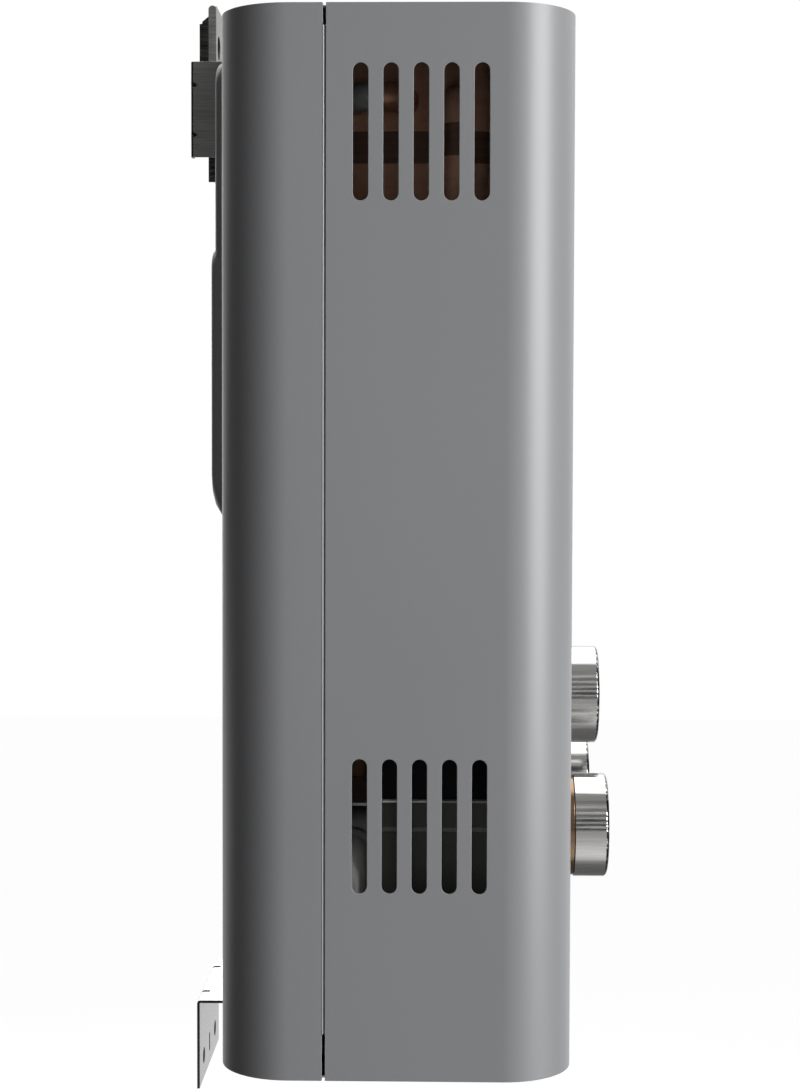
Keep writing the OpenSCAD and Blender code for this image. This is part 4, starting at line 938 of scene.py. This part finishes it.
def cut_pointer(knob):
    """Cuts the pointer groove with a small round-ended bar."""
    x, height = KNOB_PLACES["season"]
    place = at(x, BODY_DEPTH + KNOB_OUT - POINTER_BACK, height + POINTER_RISE)
    bpy.ops.object.select_all(action="DESELECT")
    bpy.ops.mesh.primitive_cube_add(size=1, location=place, scale=POINTER_SIZE)
    bar = bpy.context.object
    bpy.ops.object.transform_apply(location=True, rotation=True, scale=True)
    bpy.ops.object.mode_set(mode="EDIT")
    pick(bar, "edges", lambda edge: abs((edge.verts[0].co - edge.verts[1].co).y) > mm(1))
    bpy.ops.mesh.bevel(offset=mm(POINTER_ROUND), segments=4)
    bpy.ops.object.mode_set(mode="OBJECT")
    alone(knob)
    bpy.ops.object.modifier_add(type="BOOLEAN")
    groove = knob.modifiers[-1]
    groove.object = bar
    groove.operation = "DIFFERENCE"
    groove.solver = "EXACT"
    bpy.ops.object.modifier_apply(modifier=groove.name)
    bpy.data.objects.remove(bar)
    bpy.ops.object.shade_smooth_by_angle(angle=math.radians(POINTER_SMOOTH))


cut_pointer(season_knob)
print(season_knob.name, len(season_knob.data.polygons), "faces with its groove")

# %% Three knobs


def moved_copy(piece, name, x, height):
    """A copy of a season knob piece with its own mesh, moved to another knob's place."""
    alone(piece)
    bpy.ops.object.duplicate()
    copy = bpy.context.object
    copy.name = name
    home = KNOB_PLACES["season"]
    bpy.ops.transform.translate(value=(mm(x - home[0]), 0, mm(height - home[1])))
    bpy.ops.object.transform_apply(location=True, rotation=True, scale=True)
    return copy


def three_of(piece, ending):
    """A season piece and its copies for the two other knobs, by kind."""
    pieces = {"season": piece}
    for kind in ("gas", "water"):
        pieces[kind] = moved_copy(piece, kind + ending, *KNOB_PLACES[kind])
    return pieces


for kind, piece in three_of(season_knob, "_knob_turned").items():
    finish = knob_metal(kind + "_knob_aluminium", *KNOB_PLACES[kind])
    settle(piece, kind + "_control", finish, (kind + "_knob",))

# %% [markdown]
# ## Base rings
# A rose-gold ring sits behind each knob. It is a thin turned hoop, and its outer front edge is rounded so that it
# catches a line of light. CAD already has its section, so a copy of the solid with a wider bevel is enough.

# %% Rings
RING_ROUND, RING_SEGMENTS, RING_SHARP = 0.7, 4, 50

season_ring = rounded_copy("season_knob_ring", "season_ring_turned", RING_ROUND, RING_SEGMENTS, RING_SHARP)
for kind, piece in three_of(season_ring, "_ring_turned").items():
    settle(piece, kind + "_control", finish_of_slot["rose_gold"], (kind + "_knob_ring",))

# %% [markdown]
# ## Pipe threads
# The three fittings end in half-inch pipe threads, which CAD keeps as plain cylinders. The plain end is narrowed
# to the thread's root in edit mode, and a small V section is swept up round it by the Screw modifier, as a die
# cuts it. The Screw modifier turns about the object's own origin, so that sits on the fitting's axis.

# %% Thread sizes and the narrowed end
PORTS = {"gas_inlet": -92, "hot_outlet": -16, "cold_inlet": 60}
PORT_DEPTH, PORT_RADIUS = 52, 10.45
THREAD_TOP, THREAD_LENGTH, THREAD_PITCH = -1.2, 11.0, 1.814
THREAD_ROOT, THREAD_CREST = 9.35, 10.4


def threaded_end(node, port_x):
    """A fitting whose lower end is narrowed to the thread's root."""
    end = rounded_copy(node, node + "_body", 0.25)
    axis = at(port_x, PORT_DEPTH, 0)
    lowest_plain = axis.z + mm(THREAD_TOP)
    bpy.ops.object.mode_set(mode="EDIT")
    pick(end, "verts", lambda v: v.co.z < lowest_plain and (v.co - axis).xy.length > mm(THREAD_ROOT))
    narrow = THREAD_ROOT / PORT_RADIUS
    bpy.ops.transform.resize(value=(narrow, narrow, 1), center_override=axis)
    bpy.ops.object.mode_set(mode="OBJECT")
    return end


print("threads of", THREAD_PITCH, "mm pitch for", list(PORTS))

# %% Thread ridges
RIDGE_OVERLAP, RIDGE_FOOT, RIDGE_TIP = 0.3, 1.6, 0.15
THREAD_RUNOUT, THREAD_STEPS, THREAD_SMOOTH = 2, 48, 30


def ridge_section(name, low):
    """The V section of the thread, as the outline of a plane that narrows towards the crest."""
    middle_radius = mm(THREAD_ROOT + THREAD_CREST) / 2
    bpy.ops.object.select_all(action="DESELECT")
    bpy.ops.mesh.primitive_plane_add(
        size=1, location=low + Vector((middle_radius, 0, 0)), rotation=(math.radians(90), 0, 0),
    )
    ridge = bpy.context.object
    ridge.name = name
    ridge.scale = (mm(THREAD_CREST - THREAD_ROOT + RIDGE_OVERLAP), mm(RIDGE_FOOT), 1)
    bpy.ops.object.transform_apply(location=True, rotation=True, scale=True)
    bpy.ops.object.mode_set(mode="EDIT")
    pick(ridge, "verts", lambda v: v.co.x > low.x + middle_radius)
    bpy.ops.transform.resize(value=(1, 1, RIDGE_TIP), center_override=low)
    bpy.ops.mesh.select_all(action="SELECT")
    bpy.ops.mesh.delete(type="ONLY_FACE")
    bpy.ops.object.mode_set(mode="OBJECT")
    return ridge


def thread_ridge(name, port_x):
    """The ridge of a pipe thread: its section swept up round the fitting's axis, with closed ends."""
    low = at(port_x, PORT_DEPTH, THREAD_TOP - THREAD_LENGTH)
    ridge = ridge_section(name, low)
    bpy.context.scene.cursor.location = low
    bpy.ops.object.origin_set(type="ORIGIN_CURSOR")
    bpy.ops.object.modifier_add(type="SCREW")
    sweep = ridge.modifiers[-1]
    sweep.angle = math.radians(360)
    sweep.screw_offset = mm(THREAD_PITCH)
    sweep.iterations = int((THREAD_LENGTH - THREAD_RUNOUT) / THREAD_PITCH)
    sweep.steps = THREAD_STEPS
    sweep.use_merge_vertices = False
    bpy.ops.object.modifier_apply(modifier=sweep.name)
    bpy.ops.object.mode_set(mode="EDIT")
    pick(ridge, "edges", lambda edge: edge.is_boundary)
    bpy.ops.mesh.edge_face_add()
    bpy.ops.mesh.select_all(action="SELECT")
    bpy.ops.mesh.normals_make_consistent(inside=False)
    bpy.ops.object.mode_set(mode="OBJECT")
    bpy.ops.object.shade_smooth_by_angle(angle=math.radians(THREAD_SMOOTH))
    return ridge


for node, port_x in PORTS.items():
    settle(threaded_end(node, port_x), "heater", finish_of_node[node], (node,))
    settle(thread_ridge(node + "_thread", port_x), "heater", finish_of_node[node])
